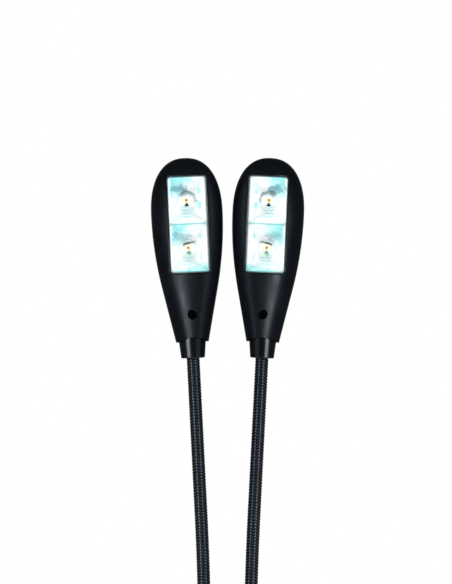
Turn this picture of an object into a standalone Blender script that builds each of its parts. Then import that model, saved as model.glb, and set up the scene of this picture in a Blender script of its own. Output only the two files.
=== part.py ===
"""Clip-on music stand light: two LED heads on ribbed goosenecks above a spring clip with three cells."""
import math

import bmesh
import bpy
from mathutils import Matrix, Vector

MM = 0.001
DEG = math.pi / 180.0

# Fits that all the pieces share
SEAT_GAP = 0.3 * MM
SCREW_FACE_SHARE = 0.8
OVERRUN = 1.0 * MM
ROUND_SIDES = 16
SMALL_SIDES = 12

# Cells and their compartment
CELL_COUNT = 3
CELL_DIAMETER = 10.5 * MM
CELL_LENGTH = 44.5 * MM
CELL_NUB_DIAMETER = 3.8 * MM
CELL_NUB_HEIGHT = 1.0 * MM
CELL_EDGE_RADIUS = 0.6 * MM
CELL_SPACING = 0.6 * MM
CELL_SIDE_ROOM = 1.65 * MM
CONTACT_THICKNESS = 0.4 * MM
CONTACT_WIDTH = 8.0 * MM
CELL_SPRING_HEIGHT = 2.0 * MM
CELL_SPRING_WIRE = 0.5 * MM
CELL_SPRING_WIDE = 6.4 * MM
CELL_SPRING_NARROW = 3.0 * MM
CELL_SPRING_TURNS = 1.5
CELL_SPRING_POINTS = 10

# Base housing
PAD_THICKNESS = 1.5 * MM
BASE_DROP = 17.0 * MM
FLOOR_WALL = 2.0 * MM
DIVIDER_WALL = 2.0 * MM
BAY_HEIGHT = 22.5 * MM
TOP_WALL = 2.0 * MM
SHELL_WALL = 2.0 * MM
CRADLE_WALL = 4.8 * MM
DOOR_THICKNESS = 1.8 * MM
DOOR_CELL_ROOM = 0.6 * MM
RAIL_DEPTH = 1.3 * MM
RAIL_LIP = 0.7 * MM
SIDE_WALL = 2.7 * MM
BASE_CORNER = 4.0 * MM
BASE_EDGE = 1.0 * MM
DOOR_GRIP_COUNT = 3
DOOR_GRIP_LENGTH = 12.0 * MM
DOOR_GRIP_WIDTH = 1.0 * MM
DOOR_GRIP_PITCH = 2.4 * MM
DOOR_GRIP_HEIGHT = 0.5 * MM
DOOR_GRIP_RISE = 6.0 * MM

# Housing screws
HOUSING_SCREW_INSET = 4.5 * MM
HOUSING_SCREW_DROP = 3.2 * MM
HOUSING_SCREW_SHANK = 2.0 * MM
HOUSING_SCREW_HEAD = 3.8 * MM
HOUSING_SCREW_HEAD_HEIGHT = 1.6 * MM
HOUSING_SCREW_LENGTH = 11.0 * MM
HOUSING_BOSS = 6.0 * MM

# Push buttons, switches and their board
BUTTON_DIAMETER = 10.0 * MM
BUTTON_FLANGE = 12.4 * MM
BUTTON_FLANGE_THICKNESS = 0.8 * MM
BUTTON_PROUD = 1.8 * MM
BUTTON_EDGE = 0.6 * MM
BUTTON_STEM = 3.2 * MM
BUTTON_STEM_REACH = 2.8 * MM
BUTTON_STEM_IN_SWITCH = 1.1 * MM
BUTTON_RISE = 10.5 * MM
BUTTON_DISH_BORDER = 1.2 * MM
BUTTON_DISH_DEPTH = 0.5 * MM
SWITCH_WIDTH = 6.0 * MM
SWITCH_DEPTH = 3.5 * MM
SWITCH_FLOOR = 0.8 * MM
SWITCH_SOLDER = 0.2 * MM
SWITCH_CHAMFER = 0.4 * MM
BOARD_THICKNESS = 1.6 * MM
BOARD_SIDE_ROOM = 2.0 * MM
BOARD_HEIGHT = 10.5 * MM
BOARD_POST = 4.0 * MM

# Clip lever, its pin and its spring
PIVOT_SETBACK = 9.0 * MM
PIVOT_RISE = 22.0 * MM
PIN_DIAMETER = 3.0 * MM
PIN_HEAD = 4.6 * MM
PIN_HEAD_LENGTH = 1.0 * MM
PIN_EDGE = 0.3 * MM
LUG_RADIUS = 3.7 * MM
LUG_WIDTH = 3.0 * MM
BARREL_RADIUS = 3.5 * MM
BARREL_LENGTH = 5.4 * MM
SPRING_BAY = 11.2 * MM
LEVER_WIDTH = 30.0 * MM
LEVER_PLATE = 2.6 * MM
LEVER_CLEARANCE = 0.6 * MM
LEVER_CORNER = 5.0 * MM
LEVER_CORNER_EASE = 0.1 * MM
LEVER_RIB_HEIGHT = 1.6 * MM
LEVER_RIB_WIDTH = 1.4 * MM
LEVER_RIB_INSET = 1.0 * MM
LEVER_RIB_START = 3.0 * MM
LEVER_RIB_LENGTH = 22.0 * MM
LEVER_RIB_RUNOUT = 2.0 * MM
THUMB_RIDGE_COUNT = 4
THUMB_RIDGE_PITCH = 3.0 * MM
THUMB_RIDGE_START = 5.0 * MM
THUMB_RIDGE_LENGTH = 18.0 * MM
THUMB_RIDGE_DIAMETER = 1.6 * MM
THUMB_RIDGE_PROUD = 0.5 * MM
LEVER_TOP_RISE = 32.0 * MM
LEVER_TOP_SETBACK = 12.2 * MM
THROAT_DEPTH = 8.0 * MM
THROAT_TOP = 4.0 * MM
THROAT_LOW = 6.0 * MM
SPRING_WIRE = 1.2 * MM
SPRING_RADIUS = 3.4 * MM
SPRING_PITCH = 1.65 * MM
SPRING_TURNS = 4.5
SPRING_POINTS = 10
SPRING_LEG = 14.0 * MM
SPRING_FOOT = 3.0 * MM

# Rubber pads
PAD_HEIGHT_ABOVE = 12.0 * MM
PAD_HEIGHT_BELOW = 11.5 * MM
PAD_RIB_HEIGHT = 4.0 * MM
PAD_RIB_PROUD = 0.6 * MM
PAD_GROOVE = 0.7 * MM
TIP_PAD_THICKNESS = 1.5 * MM

# Neck sockets on top of the base
SOCKET_HEIGHT = 8.0 * MM
SOCKET_BASE_DIAMETER = 10.4 * MM
SOCKET_TOP_DIAMETER = 8.6 * MM
SOCKET_THROAT_DIAMETER = 8.0 * MM
SOCKET_FLANGE_DIAMETER = 10.8 * MM
SOCKET_FLANGE_THICKNESS = 1.2 * MM
SOCKET_LIP = 1.0 * MM

# Goosenecks
NECK_LENGTH = 190.0 * MM
NECK_SECTIONS = 9
NECK_DIAMETER = 5.0 * MM
NECK_RIB_HEIGHT = 0.3 * MM
NECK_END_DIAMETER = 3.2 * MM
NECK_BORE = 2.4 * MM
NECK_END_GAP = 0.3 * MM
NECK_END_CONE = 0.75 * MM
NECK_RIBS = 7
NECK_SEAT_CLEARANCE = 0.3 * MM
NECK_FOOT_X = 8.74 * MM
NECK_LEAN_LENGTH = 60.0 * MM
NECK_CURVE_LENGTH = 58.0 * MM
NECK_IN_FERRULE = 5.0 * MM

# Lead inside each neck
LEAD_DIAMETER = 1.4 * MM
LEAD_TAIL = 5.0 * MM
LEAD_STEP = 9.5 * MM
LEAD_SIDE = 5.2 * MM

# Lamp heads
HEAD_TILT = 2.5 * DEG
HEAD_GAP = 3.585 * MM
HEAD_TOE_IN = 5.0 * DEG
FERRULE_EXPOSED = 6.2 * MM
HEAD_LENGTH = 71.0 * MM
HEAD_WIDTH = 27.8 * MM
HEAD_FRONT_DEPTH = 8.0 * MM
HEAD_REAR_DEPTH = 7.0 * MM
RIM_DIAMETER = 12.6 * MM
HEAD_WALL = 1.6 * MM
HEAD_FLOOR = 6.8 * MM
CROWN_SHARE = 0.697
KNEE_SHARE = 0.576
WIDTH_POWER = 2.3
DEPTH_POWER = 3.0
ROUND_POWER = 2.0
SQUARE_POWER = 2.6
OUTER_SIDES = 24
OUTER_LEVELS = 13
INNER_SIDES = 16
INNER_LEVELS = 8
RIM_ARCH = 1.9 * MM
RIM_ARCH_WIDTH = 10.8 * MM

# Window and optics
WINDOW_WIDTH = 14.3 * MM
WINDOW_HEIGHT = 36.7 * MM
WINDOW_CORNER = 1.2 * MM
WINDOW_DRAFT = 0.4 * MM
WINDOW_RISE = 45.4 * MM
LEDGE_DEPTH = 4.6 * MM
LENS_RECESS = 0.4 * MM
LENS_LIP = 0.7 * MM
LENS_THICKNESS = 1.2 * MM
REFLECTOR_DEPTH = 5.0 * MM
REFLECTOR_FLOOR = 0.8 * MM
REFLECTOR_EDGE = 0.5 * MM
LED_COUNT = 2
CUP_STEPS = 4
LED_DIAMETER = 5.0 * MM
LED_FLANGE_DIAMETER = 5.8 * MM
LED_FLANGE_THICKNESS = 1.0 * MM
LED_HEIGHT = 4.6 * MM
LED_HOLE_CLEARANCE = 0.3 * MM
LED_BOARD_WIDTH = 13.0 * MM
LED_BOARD_HEIGHT = 34.0 * MM
LED_BOARD_THICKNESS = 1.0 * MM
BOARD_STOP_DIAMETER = 2.4 * MM
BOARD_STOP_SPAN = 18.0 * MM

# Head screw and ferrule
SCREW_RISE = 10.6 * MM
SCREW_HOLE_DIAMETER = 3.6 * MM
SCREW_HOLE_DEPTH = 4.0 * MM
SCREW_HEAD_DIAMETER = 3.0 * MM
SCREW_HEAD_HEIGHT = 1.2 * MM
SCREW_SHANK_DIAMETER = 1.6 * MM
SCREW_LENGTH = 6.0 * MM
SCREW_SLOT = 0.5 * MM
SCREW_BOSS_DIAMETER = 6.0 * MM
FERRULE_BOTTOM_DIAMETER = 9.2 * MM
FERRULE_TOP_DIAMETER = 10.4 * MM
FERRULE_SEAT = 1.6 * MM
FERRULE_GROOVE_DIAMETER = 9.0 * MM
FERRULE_GROOVE_HEIGHT = 2.0 * MM
FERRULE_FLANGE_HEIGHT = 1.2 * MM
FERRULE_EDGE = 0.25 * MM

# Places worked out from the sizes above
BACK_Y = -(PAD_THICKNESS + SEAT_GAP)
BASE_DEPTH = CRADLE_WALL + SEAT_GAP + CELL_DIAMETER + DOOR_CELL_ROOM + DOOR_THICKNESS
FRONT_Y = BACK_Y - BASE_DEPTH
PARTING_Y = (FRONT_Y + BACK_Y) / 2
CELL_Y = BACK_Y - CRADLE_WALL - SEAT_GAP - CELL_DIAMETER / 2
CELL_PITCH = CELL_DIAMETER + CELL_SPACING
BAY_HALF = (CELL_COUNT * CELL_DIAMETER + (CELL_COUNT - 1) * CELL_SPACING) / 2 + CELL_SIDE_ROOM
BASE_HALF = BAY_HALF + RAIL_DEPTH + SIDE_WALL
BASE_BOTTOM = -BASE_DROP
CELL_BAY_LOW = BASE_BOTTOM + FLOOR_WALL
CELL_STACK = CELL_LENGTH + CELL_SPRING_HEIGHT + 2 * CONTACT_THICKNESS + 4 * SEAT_GAP
CELL_BAY_HIGH = CELL_BAY_LOW + CELL_STACK
BAY_LOW = CELL_BAY_HIGH + DIVIDER_WALL
BAY_HIGH = BAY_LOW + BAY_HEIGHT
BASE_TOP = BAY_HIGH + TOP_WALL
SOCKET_TOP = BASE_TOP + SEAT_GAP + SOCKET_HEIGHT
SECTION_LENGTH = NECK_LENGTH / NECK_SECTIONS
PIVOT_Y = PIVOT_SETBACK
PIVOT_Z = PIVOT_RISE
BUTTON_Z = BAY_LOW + BUTTON_RISE
HEAD_TOP = FERRULE_EXPOSED + HEAD_LENGTH
CROWN_Z = FERRULE_EXPOSED + CROWN_SHARE * HEAD_LENGTH
NECK_TOP_X = (HEAD_GAP + HEAD_WIDTH * math.cos(HEAD_TILT)) / 2 - CROWN_Z * math.sin(HEAD_TILT)
NECK_LEAN = math.atan((NECK_TOP_X - NECK_FOOT_X) / (NECK_LEAN_LENGTH + NECK_CURVE_LENGTH / 2))
HEAD_FLOOR_Z = FERRULE_EXPOSED + HEAD_FLOOR
WINDOW_Z = FERRULE_EXPOSED + WINDOW_RISE
LENS_WIDTH = WINDOW_WIDTH + 2 * LENS_LIP
LENS_HEIGHT = WINDOW_HEIGHT + 2 * LENS_LIP
LENS_FRONT = -LEDGE_DEPTH + SEAT_GAP
LENS_BACK = LENS_FRONT + LENS_THICKNESS
REFLECTOR_FRONT = LENS_BACK + SEAT_GAP
REFLECTOR_BACK = REFLECTOR_FRONT + REFLECTOR_DEPTH
LED_BOARD_FRONT = REFLECTOR_BACK + SEAT_GAP
LED_BOARD_BACK = LED_BOARD_FRONT + LED_BOARD_THICKNESS
LED_PITCH = WINDOW_HEIGHT / LED_COUNT
SCREW_Z = FERRULE_EXPOSED + SCREW_RISE

# Colours, roughness and metallic values of the finishes
SATIN_BLACK = ((0.012, 0.014, 0.018), 0.42, 0.0)
GLOSS_BLACK = ((0.008, 0.010, 0.014), 0.12, 0.0)
STEEL_BLACK = ((0.015, 0.017, 0.020), 0.30, 0.7)
RUBBER_BLACK = ((0.020, 0.020, 0.021), 0.85, 0.0)
BRIGHT_METAL = ((0.75, 0.76, 0.78), 0.20, 1.0)
CHROME_CUP = ((0.90, 0.95, 0.97), 0.06, 1.0)
CLEAR_LENS = ((0.95, 0.98, 1.0), 0.03, 0.0)
LED_RESIN = ((0.98, 0.96, 0.88), 0.05, 0.0)
BOARD_GREEN = ((0.02, 0.16, 0.07), 0.50, 0.0)
BOARD_WHITE = ((0.85, 0.86, 0.86), 0.45, 0.0)
CELL_WRAP = ((0.10, 0.22, 0.42), 0.35, 0.0)
LEAD_RED = ((0.30, 0.03, 0.03), 0.45, 0.0)


def clear_scene():
    """Remove every object that the file starts with."""
    for item in list(bpy.data.objects):
        bpy.data.objects.remove(item, do_unlink=True)


def new_collection(name):
    """Return a new collection linked to the scene."""
    group = bpy.data.collections.new(name)
    bpy.context.scene.collection.children.link(group)
    return group


def new_material(name, finish):
    """Return a Principled material from a colour, a roughness and a metallic value."""
    colour, roughness, metallic = finish
    material = bpy.data.materials.new(name)
    material.use_nodes = True
    shader = material.node_tree.nodes["Principled BSDF"]
    shader.inputs["Base Color"].default_value = (*colour, 1.0)
    shader.inputs["Roughness"].default_value = roughness
    shader.inputs["Metallic"].default_value = metallic
    return material


def empty(name, location=(0, 0, 0), rotation=(0, 0, 0), parent=None):
    """Return an empty that carries pieces."""
    frame = bpy.data.objects.new(name, None)
    frame.location = location
    frame.rotation_euler = rotation
    frame.parent = parent
    frame.empty_display_size = SEAT_GAP
    PARTS.objects.link(frame)
    return frame


def piece(name, mesh, finish, location=(0, 0, 0), rotation=(0, 0, 0), parent=None):
    """Return a named piece with its own material."""
    item = bpy.data.objects.new(name, mesh.copy())
    item.data.name = name
    item.data.materials.append(new_material(name + "_finish", finish))
    item.location = location
    item.rotation_euler = rotation
    item.parent = parent
    PARTS.objects.link(item)
    return item


def cutter(name, mesh, location=(0, 0, 0), rotation=(0, 0, 0), parent=None):
    """Return a hidden body that cuts, joins or trims a piece."""
    item = bpy.data.objects.new(name, mesh)
    item.location = location
    item.rotation_euler = rotation
    item.parent = parent
    item.hide_render = True
    item.display_type = 'WIRE'
    CUTTERS.objects.link(item)
    return item


def boolean(target, other, operation='DIFFERENCE'):
    """Cut a piece by another body, join it on, or trim the piece to it."""
    step = target.modifiers.new(other.name, 'BOOLEAN')
    step.operation = operation
    step.object = other


def mesh_from(build):
    """Return a mesh made by a function that fills a bmesh."""
    shape = bmesh.new()
    build(shape)
    mesh = bpy.data.meshes.new("shape")
    shape.to_mesh(mesh)
    shape.free()
    return mesh


def box(low, high):
    """Return a box between two corners."""
    size = Vector(high) - Vector(low)
    centre = (Vector(high) + Vector(low)) / 2

    def build(shape):
        bmesh.ops.create_cube(shape, size=1, matrix=Matrix.Translation(centre) @ Matrix.Diagonal((*size, 1)))
    return mesh_from(build)


def rounded_box(low, high, axis, corner, edge=0.0, segments=3):
    """Return a box with round corners along one axis and, if asked, softened edges at its two ends."""
    size = Vector(high) - Vector(low)
    centre = (Vector(high) + Vector(low)) / 2

    def build(shape):
        bmesh.ops.create_cube(shape, size=1, matrix=Matrix.Translation(centre) @ Matrix.Diagonal((*size, 1)))
        along = [e for e in shape.edges if abs((e.verts[0].co - e.verts[1].co)[axis]) > size[axis] / 2]
        bmesh.ops.bevel(shape, geom=along, offset=corner, segments=segments, affect='EDGES', profile=0.5)
        if edge:
            ends = [e for e in shape.edges if len({round(v.co[axis] / size[axis], 3) for v in e.verts}) == 1]
            bmesh.ops.bevel(shape, geom=ends, offset=edge, segments=1, affect='EDGES', profile=0.5)
    return mesh_from(build)


def cylinder(radius, start, end, sides=ROUND_SIDES, top_radius=None):
    """Return a cylinder, or a cone, from one point to another."""
    start, end = Vector(start), Vector(end)
    axis = end - start
    turn = Vector((0, 0, 1)).rotation_difference(axis).to_matrix().to_4x4()
    place = Matrix.Translation((start + end) / 2) @ turn

    def build(shape):
        bmesh.ops.create_cone(shape, cap_ends=True, segments=sides, radius1=radius,
                              radius2=radius if top_radius is None else top_radius,
                              depth=axis.length, matrix=place)
    return mesh_from(build)


def turned(profile, sides=ROUND_SIDES):
    """Return a body turned about Z from (radius, height) points that run down its outer side."""
    outline = bpy.data.meshes.new("profile")
    outline.from_pydata([(r, 0, z) for r, z in profile], [(i, i + 1) for i in range(len(profile) - 1)], [])
    holder = bpy.data.objects.new("profile", outline)
    bpy.context.scene.collection.objects.link(holder)
    spin = holder.modifiers.new("spin", 'SCREW')
    spin.steps = sides
    spin.render_steps = sides
    spin.use_merge_vertices = True
    spin.merge_threshold = 0.00001
    mesh = evaluated_mesh(holder)
    bpy.data.objects.remove(holder, do_unlink=True)
    return mesh


def closed_ring(profile):
    """Return a profile with its first point repeated, for a body with a bore."""
    return [*profile, profile[0]]


def evaluated_mesh(item):
    """Return an object's mesh with its modifiers applied and its doubles welded."""
    bpy.context.view_layer.update()
    graph = bpy.context.evaluated_depsgraph_get()
    mesh = bpy.data.meshes.new_from_object(item.evaluated_get(graph))
    shape = bmesh.new()
    shape.from_mesh(mesh)
    bmesh.ops.remove_doubles(shape, verts=shape.verts, dist=0.000001)
    shape.to_mesh(mesh)
    shape.free()
    return mesh


def wire(points, diameter, resolution=2, radii=None):
    """Return a tube along points, with filled caps; radii scale it at each point."""
    curve = bpy.data.curves.new("wire", 'CURVE')
    curve.dimensions = '3D'
    curve.bevel_depth = diameter / 2
    curve.bevel_resolution = resolution
    curve.use_fill_caps = True
    spline = curve.splines.new('POLY')
    spline.points.add(len(points) - 1)
    for index, point in enumerate(points):
        spline.points[index].co = (*point, 1)
        spline.points[index].radius = 1 if radii is None else radii[index]
    holder = bpy.data.objects.new("wire", curve)
    bpy.context.scene.collection.objects.link(holder)
    mesh = evaluated_mesh(holder)
    bpy.data.objects.remove(holder, do_unlink=True)
    return mesh


def plate(outline, axis, half_thickness):
    """Return a flat outline, given in the two other axes, extruded both ways along an axis."""
    curve = bpy.data.curves.new("outline", 'CURVE')
    curve.dimensions = '2D'
    curve.fill_mode = 'BOTH'
    curve.extrude = half_thickness
    spline = curve.splines.new('POLY')
    spline.points.add(len(outline) - 1)
    for index, (across, up) in enumerate(outline):
        spline.points[index].co = (across, up, 0, 1)
    spline.use_cyclic_u = True
    holder = bpy.data.objects.new("outline", curve)
    bpy.context.scene.collection.objects.link(holder)
    mesh = evaluated_mesh(holder)
    bpy.data.objects.remove(holder, do_unlink=True)
    turns = {0: Matrix(((0, 0, 1), (1, 0, 0), (0, 1, 0))), 1: Matrix(((1, 0, 0), (0, 0, -1), (0, 1, 0)))}
    mesh.transform(turns[axis].to_4x4())
    return mesh


def loft(sections):
    """Return a closed body through rings of points that run anticlockwise seen from the last ring."""
    count = len(sections[0])

    def build(shape):
        rings = [[shape.verts.new(point) for point in ring] for ring in sections]
        for low, high in zip(rings, rings[1:]):
            for i in range(count):
                j = (i + 1) % count
                shape.faces.new((low[i], low[j], high[j], high[i]))
        shape.faces.new(list(reversed(rings[0])))
        shape.faces.new(rings[-1])
    return mesh_from(build)


def moved(mesh, offset=(0, 0, 0), turn=None):
    """Return a copy of a mesh turned and then moved."""
    copy = mesh.copy()
    place = Matrix.Translation(offset)
    if turn is not None:
        place = place @ turn.to_4x4()
    copy.transform(place)
    return copy


def smooth(item, angle=35 * DEG):
    """Shade a piece smooth, with sharp edges past an angle."""
    item.data.shade_smooth()
    item.data.set_sharp_from_angle(angle=angle)


FACING_FRONT = Matrix.Rotation(90 * DEG, 3, 'X')
FACING_REAR = Matrix.Rotation(-90 * DEG, 3, 'X')
ALONG_X = Matrix.Rotation(90 * DEG, 3, 'Y')


# Base housing

def housing_body(name, front):
    """Return one half of the base housing, cut open where the cells and the controls sit."""
    outer = rounded_box((-BASE_HALF, FRONT_Y, BASE_BOTTOM), (BASE_HALF, BACK_Y, BASE_TOP), 1,
                        BASE_CORNER, BASE_EDGE)
    body = piece(name, outer, SATIN_BLACK)
    if front:
        half = box((-BASE_HALF - OVERRUN, FRONT_Y - OVERRUN, BASE_BOTTOM - OVERRUN),
                   (BASE_HALF + OVERRUN, PARTING_Y - SEAT_GAP / 2, BASE_TOP + OVERRUN))
    else:
        half = box((-BASE_HALF - OVERRUN, PARTING_Y + SEAT_GAP / 2, BASE_BOTTOM - OVERRUN),
                   (BASE_HALF + OVERRUN, BACK_Y + OVERRUN, BASE_TOP + OVERRUN))
    boolean(body, cutter(name + "_half", half), 'INTERSECT')
    cells = box((-BAY_HALF, FRONT_Y - OVERRUN, CELL_BAY_LOW),
                (BAY_HALF, BACK_Y - CRADLE_WALL, CELL_BAY_HIGH))
    boolean(body, cutter(name + "_cell_bay", cells))
    inner_half = BASE_HALF - SHELL_WALL
    bay = rounded_box((-inner_half, FRONT_Y + SHELL_WALL, BAY_LOW),
                      (inner_half, BACK_Y - SHELL_WALL, BAY_HIGH), 1, BASE_CORNER / 2)
    boolean(body, cutter(name + "_control_bay", bay))
    return body


def screw_places():
    """Return where the two housing screws stand, as (x, z)."""
    height = BAY_HIGH - HOUSING_SCREW_DROP
    reach = BASE_HALF - HOUSING_SCREW_INSET
    return [(-reach, height), (reach, height)]


def housing_bosses(body, name):
    """Join the screw bosses on to a housing half and bore them."""
    for number, (x, z) in enumerate(screw_places()):
        boss = cylinder(HOUSING_BOSS / 2, (x, FRONT_Y + SHELL_WALL / 2, z), (x, BACK_Y - SHELL_WALL / 2, z),
                        SMALL_SIDES)
        half = box((x - HOUSING_BOSS, FRONT_Y - OVERRUN, z - HOUSING_BOSS),
                   (x + HOUSING_BOSS, PARTING_Y - SEAT_GAP / 2, z + HOUSING_BOSS))
        if name == "rear_housing":
            half = box((x - HOUSING_BOSS, PARTING_Y + SEAT_GAP / 2, z - HOUSING_BOSS),
                       (x + HOUSING_BOSS, BACK_Y + OVERRUN, z + HOUSING_BOSS))
        post = cutter(f"{name}_boss_{number}", boss)
        boolean(post, cutter(f"{name}_boss_half_{number}", half), 'INTERSECT')
        boolean(body, post, 'UNION')
        hole = cylinder(HOUSING_SCREW_SHANK / 2 + SEAT_GAP,
                        (x, BACK_Y - HOUSING_SCREW_HEAD_HEIGHT - HOUSING_SCREW_LENGTH - SEAT_GAP, z),
                        (x, BACK_Y + OVERRUN, z), SMALL_SIDES)
        boolean(body, cutter(f"{name}_screw_hole_{number}", hole))
        if name == "rear_housing":
            head = cylinder(HOUSING_SCREW_HEAD / 2 + SEAT_GAP,
                            (x, BACK_Y - HOUSING_SCREW_HEAD_HEIGHT - SEAT_GAP, z), (x, BACK_Y + OVERRUN, z),
                            SMALL_SIDES)
            boolean(body, cutter(f"{name}_screw_head_{number}", head))


def socket_holes(body, name):
    """Cut the two holes in the top wall that the neck sockets pass through."""
    for side in (-1, 1):
        x = side * NECK_FOOT_X
        hole = cylinder(SOCKET_THROAT_DIAMETER / 2 + SEAT_GAP, (x, PARTING_Y, BAY_HIGH - OVERRUN),
                        (x, PARTING_Y, BASE_TOP + OVERRUN))
        boolean(body, cutter(f"{name}_socket_hole_{side}", hole))


def front_housing():
    """Make the front half, with its door rails and button holes."""
    body = housing_body("front_housing", True)
    opening = box((-BAY_HALF, FRONT_Y - OVERRUN, BASE_BOTTOM - OVERRUN),
                  (BAY_HALF, FRONT_Y + DOOR_THICKNESS + SEAT_GAP, CELL_BAY_HIGH))
    boolean(body, cutter("door_opening", opening))
    groove = box((-BAY_HALF - RAIL_DEPTH, FRONT_Y + RAIL_LIP, BASE_BOTTOM - OVERRUN),
                 (BAY_HALF + RAIL_DEPTH, FRONT_Y + DOOR_THICKNESS + SEAT_GAP, CELL_BAY_HIGH))
    boolean(body, cutter("door_groove", groove))
    for side in (-1, 1):
        x = side * NECK_FOOT_X
        hole = cylinder(BUTTON_DIAMETER / 2 + SEAT_GAP, (x, FRONT_Y - OVERRUN, BUTTON_Z),
                        (x, FRONT_Y + SHELL_WALL + OVERRUN, BUTTON_Z))
        boolean(body, cutter(f"button_hole_{side}", hole))
        dish = cylinder(BUTTON_DIAMETER / 2 + BUTTON_DISH_BORDER, (x, FRONT_Y - OVERRUN, BUTTON_Z),
                        (x, FRONT_Y + BUTTON_DISH_DEPTH, BUTTON_Z))
        boolean(body, cutter(f"button_dish_{side}", dish))
    housing_bosses(body, "front_housing")
    socket_holes(body, "front_housing")
    return body


def rear_housing():
    """Make the rear half, with the board posts and the two lugs that hold the clip's pin."""
    body = housing_body("rear_housing", False)
    for side in (-1, 1):
        inner = SPRING_BAY / 2 + BARREL_LENGTH + SEAT_GAP
        low, high = sorted((side * inner, side * (inner + LUG_WIDTH)))
        root = box((low, BACK_Y - SHELL_WALL / 2, PIVOT_Z - LUG_RADIUS),
                   (high, PIVOT_Y, PIVOT_Z + LUG_RADIUS))
        boolean(body, cutter(f"lug_root_{side}", root), 'UNION')
        nose = cylinder(LUG_RADIUS, (low, PIVOT_Y, PIVOT_Z), (high, PIVOT_Y, PIVOT_Z))
        boolean(body, cutter(f"lug_nose_{side}", nose), 'UNION')
        hole = cylinder(PIN_DIAMETER / 2 + SEAT_GAP, (low - OVERRUN, PIVOT_Y, PIVOT_Z),
                        (high + OVERRUN, PIVOT_Y, PIVOT_Z), SMALL_SIDES)
        boolean(body, cutter(f"lug_hole_{side}", hole))
        x = side * NECK_FOOT_X
        post = cylinder(BOARD_POST / 2, (x, switch_back() + BOARD_THICKNESS + SEAT_GAP, BUTTON_Z),
                        (x, BACK_Y - SHELL_WALL / 2, BUTTON_Z), SMALL_SIDES)
        boolean(body, cutter(f"board_post_{side}", post), 'UNION')
    housing_bosses(body, "rear_housing")
    socket_holes(body, "rear_housing")
    return body


def housing_screws():
    """Make the two screws that hold the housing halves together."""
    radius = HOUSING_SCREW_HEAD / 2
    shank = HOUSING_SCREW_SHANK / 2
    profile = [(0, HOUSING_SCREW_HEAD_HEIGHT), (radius * SCREW_FACE_SHARE, HOUSING_SCREW_HEAD_HEIGHT),
               (radius, HOUSING_SCREW_HEAD_HEIGHT / 2), (radius, 0), (shank, 0),
               (shank, -HOUSING_SCREW_LENGTH + shank), (0, -HOUSING_SCREW_LENGTH)]
    body = moved(turned(profile, SMALL_SIDES), turn=FACING_REAR)
    for label, (x, z) in zip(("left", "right"), screw_places()):
        place = (x, BACK_Y - HOUSING_SCREW_HEAD_HEIGHT, z)
        smooth(piece(f"{label}_housing_screw", body, BRIGHT_METAL, place))


def battery_door():
    """Make the sliding door with its side tongues and thumb ridges."""
    low, high = BASE_BOTTOM, CELL_BAY_HIGH - SEAT_GAP
    inner = FRONT_Y + DOOR_THICKNESS
    panel = box((-BAY_HALF + SEAT_GAP, FRONT_Y, low), (BAY_HALF - SEAT_GAP, inner, high))
    frame = empty("door_track", (0, FRONT_Y, low))
    body = piece("battery_door", moved(panel, (0, -FRONT_Y, -low)), SATIN_BLACK, parent=frame)
    tongue = BAY_HALF + RAIL_DEPTH - SEAT_GAP
    rail = box((-tongue, RAIL_LIP + SEAT_GAP, 0), (tongue, DOOR_THICKNESS, high - low))
    boolean(body, cutter("door_tongues", rail, parent=frame), 'UNION')
    for number in range(DOOR_GRIP_COUNT):
        height = DOOR_GRIP_RISE + number * DOOR_GRIP_PITCH
        ridge = box((-DOOR_GRIP_LENGTH / 2, -DOOR_GRIP_HEIGHT, height),
                    (DOOR_GRIP_LENGTH / 2, DOOR_THICKNESS / 2, height + DOOR_GRIP_WIDTH))
        boolean(body, cutter(f"door_ridge_{number}", ridge, parent=frame), 'UNION')


def cell_places():
    """Return each cell's x and whether its nub points up."""
    middle = (CELL_COUNT - 1) / 2
    return [((number - middle) * CELL_PITCH, number % 2 == 0) for number in range(CELL_COUNT)]


def cells():
    """Make the three cells, turned about face by turns."""
    radius = CELL_DIAMETER / 2
    nub = CELL_NUB_DIAMETER / 2
    shoulder = CELL_LENGTH - CELL_NUB_HEIGHT
    profile = [(0, CELL_LENGTH), (nub, CELL_LENGTH), (nub, shoulder), (radius - CELL_EDGE_RADIUS, shoulder),
               (radius, shoulder - CELL_EDGE_RADIUS), (radius, 0), (0, 0)]
    cell = turned(profile)
    margin = CONTACT_THICKNESS + CELL_SPRING_HEIGHT + 2 * SEAT_GAP
    for number, (x, up) in enumerate(cell_places()):
        if up:
            place, turn = (x, CELL_Y, CELL_BAY_LOW + margin), (0, 0, 0)
        else:
            place, turn = (x, CELL_Y, CELL_BAY_HIGH - margin), (180 * DEG, 0, 0)
        smooth(piece(f"cell_{number + 1}", cell, CELL_WRAP, place, turn))


def cell_contacts():
    """Make the contact plates at both ends of the compartment, with springs at the cells' flat ends."""
    half = CONTACT_WIDTH / 2
    low = CELL_BAY_LOW + SEAT_GAP
    high = CELL_BAY_HIGH - SEAT_GAP
    first, second, third = (x for x, _ in cell_places())
    spans = [("low_link_contact", first, second, first, 1), ("low_end_contact", third, third, third, 1),
             ("high_end_contact", first, first, None, -1), ("high_link_contact", second, third, second, -1)]
    coil = cell_spring()
    for name, left, right, sprung, way in spans:
        wall = low if way > 0 else high
        bottom, top = sorted((wall, wall + way * CONTACT_THICKNESS))
        body = piece(name, box((left - half, CELL_Y - half, bottom), (right + half, CELL_Y + half, top)),
                     BRIGHT_METAL)
        if sprung is not None:
            turn = (0, 0, 0) if way > 0 else (180 * DEG, 0, 0)
            foot = (sprung, CELL_Y, wall + way * CONTACT_THICKNESS)
            spring = cutter(name + "_spring", coil.copy(), foot, turn)
            boolean(body, spring, 'UNION')


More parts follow.
